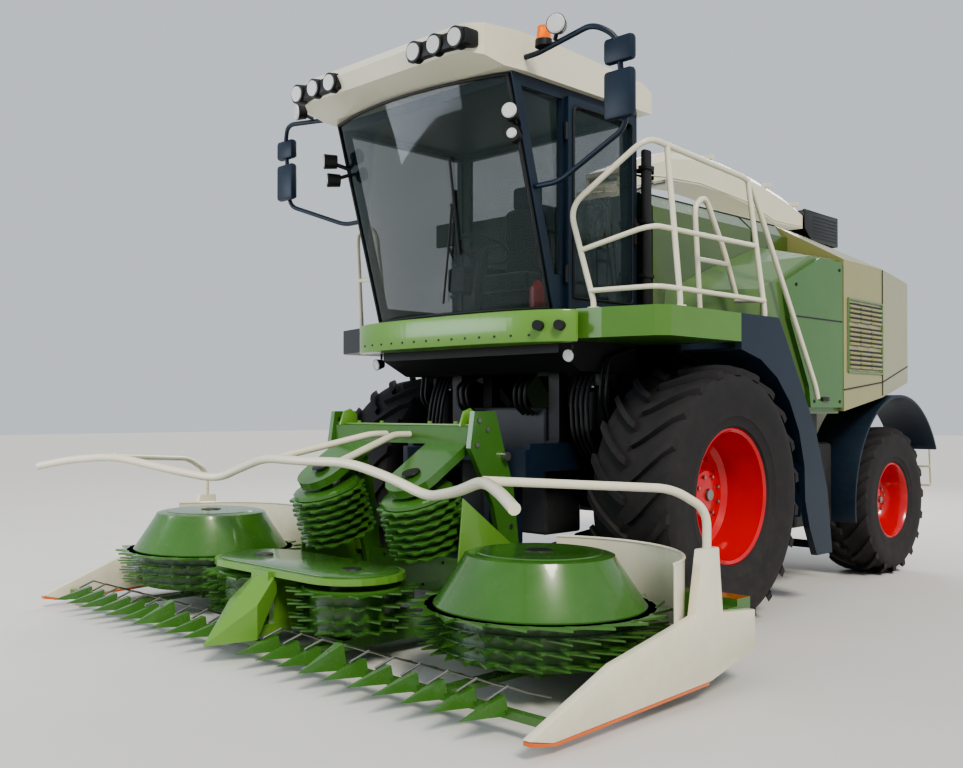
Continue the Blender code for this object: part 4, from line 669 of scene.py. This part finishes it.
bm = bmesh.new()
for x in (-0.2, 0.188):
    add_slab(bm, [(3.985, 3.672), (4.76, 3.66), (4.76, 3.34), (4.14, 3.36), (3.985, 3.47)], "yz", x, x + 0.012, 0.003)
add_slab(bm, [(-0.2, 3.985), (0.2, 3.985), (0.2, 4.755), (-0.2, 4.755)], "xy", 3.650, 3.664, 0.003)
add_box(bm, (-0.2, 4.742, 3.34), (0.2, 4.758, 3.66), 0.003)
for side in (1, -1):
    near, far = wide(0.1815, 0.206, side)
    add_box(bm, (near, 3.962, 3.638), (far, 4.03, 3.67), 0.006)
    for row in range(7):
        for k in range(16):
            x = side * 0.2005
            y, z = 4.16 + 0.036 * k, 3.385 + 0.037 * row
            add_box(bm, (x - 0.003, y, z), (x + 0.003, y + 0.024, z + 0.010))
piece("meshed_flap", bm, GRAPHITE, "spout_end", 32, ["spout_flap"])

# ---------------------------------------------------------------- header
def toothed(bm, centre, count, root, tip, low, thick, skew):
    """A flat disc with hooked teeth."""
    outline = []
    for k in range(count):
        base = math.tau * k / count
        for share, reach in ((0.0, root), (0.38 + 0.22 * skew, root + (tip - root) * 0.55), (0.62 + 0.34 * skew, tip), (0.86, root)):
            angle = base + math.tau / count * share
            outline.append((centre[0] + reach * math.cos(angle), centre[1] + reach * math.sin(angle)))
    add_slab(bm, outline, "xy", low, low + thick)


for side, word in SIDES:
    x, y = side * 1.668, -2.14
    bm = bmesh.new()
    dome = [(0.0, 0.752), (0.30, 0.751), (0.345, 0.750), (0.352, 0.745), (0.39, 0.743), (0.415, 0.735)]
    dome += [(0.43, 0.705), (0.575, 0.485), (0.59, 0.468), (0.59, 0.455), (0.52, 0.44), (0.52, 0.20)]
    dome += [(0.30, 0.161), (0.0, 0.161)]
    add_ring(bm, dome, Matrix.Translation((x, y, 0)), 96)
    plates = ((20, 0.625, 0.72, 0.446, 0.014), (30, 0.56, 0.70, 0.375, 0.010))
    plates += ((30, 0.56, 0.69, 0.305, 0.010), (30, 0.56, 0.67, 0.235, 0.010))
    for count, root, tip, low, thick in plates:
        toothed(bm, (x, y), count, root, tip, low, thick, side)
        add_rod(bm, (x, y, low - 0.004), (x, y, low + 0.014), root + 0.01, None, 64)
    piece(f"gathering_rotor_{word}", bm, GREEN, f"big_rotor_{word}", 32, [f"rotor_{word}"])
    plug = bmesh.new()
    add_rod(plug, (x, y, 0.745), (x, y, 0.7565), 0.082, 0.076, 40)
    piece(f"rotor_plug_{word}", plug, BLACK, f"big_rotor_{word}")
    x, y = side * 0.462, -2.481
    bm = bmesh.new()
    core = [(0.0, 0.46), (0.30, 0.46), (0.31, 0.45), (0.31, 0.43), (0.26, 0.42), (0.26, 0.20), (0.18, 0.161), (0.0, 0.161)]
    add_ring(bm, core, Matrix.Translation((x, y, 0)), 64)
    for low, tip, root in ((0.438, 0.41, 0.34), (0.360, 0.40, 0.30), (0.280, 0.39, 0.30), (0.215, 0.375, 0.30)):
        toothed(bm, (x, y), 18, root, tip, low, 0.011, -side)
    piece(f"middle_rotor_{word}", bm, GREEN, f"small_rotor_{word}", 32, [f"inner_rotor_{word}"])
    lean = Matrix.Translation((side * 0.472, -1.95, 1.0)) @ Matrix.Rotation(math.radians(20), 4, "X")
    bm = bmesh.new()
    core = [(0.0, -0.002), (0.21, -0.002), (0.235, -0.012), (0.24, -0.035), (0.19, -0.040)]
    core += [(0.19, -0.41), (0.17, -0.418), (0.0, -0.418)]
    add_ring(bm, core, lean, 64)
    for level in range(7):
        outline = []
        for k in range(56):
            reach = 0.262 + 0.018 * math.cos(math.tau * (k / 4 + 0.5 * (level % 2)))
            angle = math.tau * k / 56
            outline.append((reach * math.cos(angle), reach * math.sin(angle)))
        low = -0.062 - 0.054 * level
        placed(bm, lean, add_slab, outline, "xy", low, low + 0.020, 0.004)
    piece(f"ribbed_drum_{word}", bm, GREEN, f"drum_{word}", 40, [f"feed_drum_{word}"])

    bm = bmesh.new()
    plate_line = [(-3.16, 0.10), (-2.55, 0.33), (-1.85, 0.46), (-1.78, 0.80), (-1.62, 0.80), (-1.58, 0.45)]
    plate_line += [(-1.24, 0.42), (-1.24, 0.20), (-1.70, 0.10), (-3.00, 0.06)]
    near, far = wide(2.42, 2.475, side)
    add_slab(bm, plate_line, "yz", near, far, 0.008)
    arc = [math.radians(12 + 2.75 * k) for k in range(41)]
    band = []
    for reach, run in ((0.782, arc), (0.774, arc[::-1])):
        band += [(side * (1.668 + reach * math.cos(a)), -2.14 + reach * math.sin(a)) for a in run]
    add_slab(bm, band, "xy", 0.30, 0.74)
    for height in (0.74, 0.31):
        for a, b in zip(arc, arc[1:]):
            ends = [(side * (1.668 + 0.778 * math.cos(t)), -2.14 + 0.778 * math.sin(t), height) for t in (a, b)]
            add_rod(bm, ends[0], ends[1], 0.009, None, 8)
    for y, z in ((-2.9, 0.14), (-2.5, 0.25), (-2.1, 0.33), (-1.7, 0.40), (-1.7, 0.72)):
        add_rod(bm, (side * 2.4745, y, z), (side * 2.4749, y, z), 0.012, 0.012, 6)
    piece(f"end_plate_{word}", bm, CREAM, "header", 25, [f"end_divider_{word}"])
    bm = bmesh.new()
    near, far = wide(2.425, 2.4745, side)
    add_slab(bm, [(-3.15, 0.075), (-2.98, 0.045), (-1.72, 0.085), (-1.72, 0.10), (-3.0, 0.06), (-3.15, 0.095)], "yz", near, far, 0.001)
    piece(f"skid_strip_{word}", bm, ORANGE, "header")

    # Guide rods that rise from the points, and the folded deflector plates by the drums.
    rods = []
    for k in range(10):
        x = side * (0.30 + 0.20 * k)
        rods.append(([(x, -3.02, 0.185 + 0.02 * (k == 3)), (x + side * 0.01, -2.90, 0.225)], 0.007, 0))
        rods.append(([(x + side * 0.01, -2.90, 0.225), (x + side * 0.03, -2.80, 0.185), (x + side * 0.03, -2.60, 0.120)], 0.006, 0.03))
    pipes(f"point_rods_{word}", rods, STEEL, "header")
    bm = bmesh.new()
    near, far = wide(0.80, 0.815, side)
    add_slab(bm, [(-1.86, 0.97), (-1.34, 0.60), (-1.34, 0.42), (-1.60, 0.36), (-1.92, 0.42)], "yz", near, far, 0.003)
    near, far = wide(0.74, 0.812, side)
    add_slab(bm, [(-1.40, 0.46), (-1.34, 0.46), (-1.34, 0.60), (-1.40, 0.60)], "yz", near, far, 0.003)
    piece(f"deflector_{word}", bm, LIGHT_GREEN, "header")
    bm = bmesh.new()
    for y, z in ((-1.25, 0.40), (-1.33, 0.75), (-1.44, 1.05), (-1.56, 1.40), (-1.64, 1.46), (-1.66, 1.30)):
        add_rod(bm, (side * 0.699, y, z), (side * 0.748, y, z), 0.017, 0.017, 6)
    add_rod(bm, (side * 0.66, -1.40, 1.22), (side * 0.78, -1.40, 1.22), 0.030, 0.030, 24)
    piece(f"bracket_pins_{word}", bm, STEEL, "header")

bm = bmesh.new()
add_box(bm, (-0.70, -1.66, 1.4205), (0.70, -1.56, 1.436), 0.004)
for x in (-0.5, -0.25, 0.25, 0.5):
    add_rod(bm, (x, -1.61, 1.435), (x, -1.61, 1.452), 0.016, 0.014, 6)
for x in (-0.62, 0.62):
    add_slab(bm, [(-1.70, 1.42), (-1.54, 1.42), (-1.54, 1.50), (-1.60, 1.54), (-1.66, 1.52)], "yz", x - 0.01, x + 0.01, 0.003)
piece("top_beam_plates", bm, LIGHT_GREEN, "header")
bm = bmesh.new()
for k in range(22):
    x = -2.2 + 4.4 * k / 21
    add_rod(bm, (x, -1.3395, 0.44), (x, -1.350, 0.44), 0.011, 0.010, 6)
    add_rod(bm, (x, -1.3395, 0.26), (x, -1.350, 0.26), 0.011, 0.010, 6)
piece("beam_bolts", bm, BLACK, "header")

r = 0.03
half = [(0.0, -2.52, 1.20), (0.45, -2.49, 1.205), (0.80, -2.45, 1.12), (1.10, -2.45, 1.03), (1.50, -2.62, 1.09)]
half += [(1.90, -2.84, 1.18), (2.20, -3.05, 1.15), (2.42, -3.20, 1.10)]
runs = [([(-x, y, z) for x, y, z in reversed(half[1:])] + half, r, 0.16)]
for side in (1, -1):
    stay = [(1.90, -2.84, 1.18), (2.38, -1.92, 1.12), (2.4475, -1.70, 1.0), (2.4475, -1.70, 0.8005)]
    runs.append((flip(stay, side), r * 0.8, 0.10))
    runs.append((flip([(0.35, -2.50, 1.20), (0.12, -1.82, 1.36), (0.12, -1.6805, 1.36)], side), r * 0.8, 0.06))
pipes("bent_pusher_bar", runs, CREAM, "header", ["pusher_bar"])

bm = bmesh.new()
cover = []
for side, start in ((1, -math.pi / 2), (-1, math.pi / 2)):
    for k in range(25):
        angle = start + math.pi * k / 24
        cover.append((side * 0.462 + 0.295 * math.cos(angle), -2.481 + 0.295 * math.sin(angle)))
add_slab(bm, cover, "xy", 0.5385, 0.550, 0.005)
piece("oval_cover_panel", bm, GREEN, "header")
bm = bmesh.new()
for side in (1, -1):
    add_rod(bm, (side * 0.462, -2.481, 0.549), (side * 0.462, -2.481, 0.558), 0.062, 0.058, 40)
    top = Vector((side * 0.472, -1.95, 1.0)) + Vector((0, -0.342, 0.940)) * 0.1305
    add_rod(bm, top, top + Vector((0, -0.342, 0.940)) * 0.010, 0.062, 0.058, 40)
piece("hub_plugs", bm, BLACK, "header")

# Hoses between feeder and cab, all on the machine.
hoses = []
for side in (1, -1):
    for k in range(3):
        x = side * (0.24 + 0.05 * k)
        hoses.append(([(x, -0.62, 1.50), (x, -0.72, 1.56), (x * 1.05, -0.74, 1.70), (x, -0.60, 1.795)], 0.014, 0.08))
pipes("hydraulic_hoses", hoses, BLACK)
for side, word in SIDES:
    # Loops of hose and rigid pipes from the valve block down to the feeder, and a lamp under the deck.
    loops = []
    for k in range(4):
        x = side * (0.66 + 0.045 * k)
        loops.append(([(x, -0.50, 1.795), (x, -0.58, 1.62), (x + side * 0.03, -0.60, 1.34), (x, -0.44, 1.20)], 0.015, 0.10))
    for k in range(2):
        x = side * (0.90 + 0.05 * k)
        loops.append(([(x, -0.20, 1.98), (x, -0.52, 1.90), (x, -0.56, 1.60), (x - side * 0.1, -0.30, 1.38)], 0.012, 0.08))
    pipes(f"lift_hoses_{word}", loops, BLACK)
    bm = bmesh.new()
    near, far = wide(0.62, 0.86, side)
    add_box(bm, (near, -0.50, 1.70), (far, -0.30, 1.796), 0.01)
    add_rod(bm, (side * 0.74, -0.46, 1.38), (side * 0.74, -0.46, 1.66), 0.055, None, 24)
    add_rod(bm, (side * 0.74, -0.46, 1.66), (side * 0.74, -0.46, 1.69), 0.045, 0.02, 24)
    add_rod(bm, (side * 0.74, -0.46, 1.35), (side * 0.74, -0.46, 1.38), 0.02, 0.055, 24)
    piece(f"valve_block_{word}", bm, GRAPHITE)
    bm = bmesh.new()
    for k in range(4):
        x = side * (0.66 + 0.045 * k)
        add_rod(bm, (x, -0.50, 1.690), (x, -0.50, 1.702), 0.021, None, 6)
    piece(f"hose_fittings_{word}", bm, STEEL)
    bm = bmesh.new()
    add_rod(bm, (side * 0.98, -0.96, 1.905), (side * 0.985, -1.02, 1.895), 0.034, 0.046, 24)
    add_rod(bm, (side * 0.98, -0.97, 1.94), (side * 0.98, -0.97, 1.985), 0.010, None, 12)
    piece(f"deck_lamp_body_{word}", bm, BLACK)
    bm = bmesh.new()
    add_rod(bm, (side * 0.985, -1.0205, 1.895), (side * 0.986, -1.026, 1.894), 0.043, 0.038, 24)
    piece(f"deck_lamp_lens_{word}", bm, CLEAR)
    # A small step behind each rear wheel.
    step = []
    for x in (1.06, 1.30):
        step.append(([(side * x, 4.30, 1.30), (side * x, 4.42, 1.20), (side * x, 4.46, 0.76)], 0.014, 0.05))
    for z in (1.15, 0.96, 0.77):
        step.append(([(side * 1.06, 4.425 + 0.03 * (1.2 - z), z), (side * 1.30, 4.425 + 0.03 * (1.2 - z), z)], 0.014, 0))
    step.append(([(side * 0.56, 3.99, 1.19), (side * 0.80, 4.25, 1.26), (side * 1.30, 4.30, 1.30)], 0.016, 0.08))
    pipes(f"rear_step_{word}", step, CREAM)
bm = bmesh.new()
for side in (1, -1):
    for k in range(6):
        a = math.tau * k / 6
        at = Vector((side * 0.571, -0.52 + 0.065 * math.cos(a), 1.19 + 0.065 * math.sin(a)))
        add_rod(bm, at - Vector((side * 0.001, 0, 0)), at + Vector((side * 0.0, 0, 0)) + Vector((side * 0.004, 0, 0)), 0.010, None, 6)
piece("pivot_bolts", bm, STEEL)

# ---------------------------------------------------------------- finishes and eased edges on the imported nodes
COATS = {
    "front_axle": (BLACK, 0.008), "rear_axle": (BLACK, 0.008), "knuckle_left": (BLACK, 0.006),
    "knuckle_right": (BLACK, 0.006), "chassis_frame": (BLACK, 0.008), "engine_block": (GRAPHITE, 0.02),
    "chopper_housing": (GRAPHITE, 0), "crop_tower": (BLACK, 0.01), "cab_floor": (BLACK, 0.02),
    "cab_frame": (NAVY, 0.008), "cab_roof": (CREAM, 0.03), "cab_door": (NAVY, 0.008),
    "steering_column": (TRIM, 0), "deck_left": (DECK_GREEN, 0.012), "deck_right": (GRAPHITE, 0.012),
    "fender_front_left": (NAVY, 0.010), "fender_front_right": (NAVY, 0.010), "hood": (OLIVE, 0.010),
    "side_pod_left": (POD_GREEN, 0.018), "side_pod_right": (POD_GREEN, 0.018),
    "service_door_left": (GREEN, 0.010), "service_door_right": (GREEN, 0.010), "rear_body": (SAND, 0.022),
    "feeder_housing": (NAVY, 0.008), "ram_barrel_left": (BLACK, 0), "ram_barrel_right": (BLACK, 0),
    "ram_rod_left": (STEEL, 0), "ram_rod_right": (STEEL, 0), "header_frame": (GREEN, 0.005),
    "gear_arms": (GREEN, 0.003), "middle_cover": (LIGHT_GREEN, 0.006),
}
for name, (material, ease) in COATS.items():
    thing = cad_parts[name]
    thing.data.materials.clear()
    thing.data.materials.append(material)
    if ease:
        soften = thing.modifiers.new("eased_edges", "BEVEL")
        soften.width = ease
        soften.segments = 2
        soften.limit_method = "ANGLE"
        soften.angle_limit = math.radians(28)

# ---------------------------------------------------------------- floor, light and camera
floor_mesh = bmesh.new()
bmesh.ops.create_grid(floor_mesh, x_segments=1, y_segments=1, size=60)
mesh = bpy.data.meshes.new("floor")
floor_mesh.to_mesh(mesh)
floor_mesh.free()
floor = bpy.data.objects.new("floor", mesh)
COLLECTION.objects.link(floor)
# Smooth pale studio floor: even, matt, with a very faint mottle.
PALE, pale_shader, pale_at = blank("pale_studio_floor")
mottle = node(PALE, "ShaderNodeTexNoise", Vector=pale_at, Scale=1.5, Detail=4.0)
tone = node(PALE, "ShaderNodeMix", {"data_type": "RGBA"}, Factor=mottle.outputs["Fac"])
tone.inputs["A"].default_value = linear("#DAD9D6")
tone.inputs["B"].default_value = linear("#D3D2CF")
join(PALE, tone.outputs["Result"], pale_shader, "Base Color")
pale_shader.inputs["Roughness"].default_value = 0.85
mesh.materials.append(PALE)

world = bpy.data.worlds.new("studio")
world.use_nodes = True
world.node_tree.nodes["Background"].inputs["Color"].default_value = linear("#DDE3EA")
world.node_tree.nodes["Background"].inputs["Strength"].default_value = 0.78
bpy.context.scene.world = world


def aimed(name, lamp, place, aim, power, code):
    lamp.energy = power
    lamp.color = linear(code)[:3]
    made = bpy.data.objects.new(name, lamp)
    made.location = place
    made.rotation_euler = (Vector(aim) - Vector(place)).to_track_quat("-Z", "Y").to_euler()
    COLLECTION.objects.link(made)


def soft_light(name, place, aim, size, power, code):
    lamp = bpy.data.lights.new(name, "AREA")
    lamp.shape = "RECTANGLE"
    lamp.size, lamp.size_y = size
    aimed(name, lamp, place, aim, power, code)


sun = bpy.data.lights.new("key_sun", "SUN")
sun.angle = math.radians(16)
aimed("key_sun", sun, (9.0, -5.0, 11.0), (0, 0, 1.0), 2.3, "#FFF6E8")
soft_light("fill_front", (-5.0, -9.5, 3.5), (0, -1.5, 1.2), (6, 3), 260, "#EAF1FF")
soft_light("rear_rim", (-5.5, 9.5, 7.0), (0, 0.5, 1.8), (6, 4), 420, "#FFFFFF")


lens_data = bpy.data.cameras.new("view")
lens_data.lens = 38.95
lens_data.sensor_width = 36.0
lens_data.shift_x = 0.0575
lens_data.shift_y = 0.0189
lens_data.clip_end = 200
camera = bpy.data.objects.new("view", lens_data)
camera.location = (5.397, -6.58 + AXLE_Y, 1.523)
camera.rotation_euler = (math.radians(90.47), 0, math.radians(46.21))
COLLECTION.objects.link(camera)
bpy.context.scene.camera = camera
bpy.context.scene.view_settings.view_transform = "AgX"
bpy.context.scene.view_settings.look = "AgX - Medium High Contrast"

bpy.context.view_layer.update()
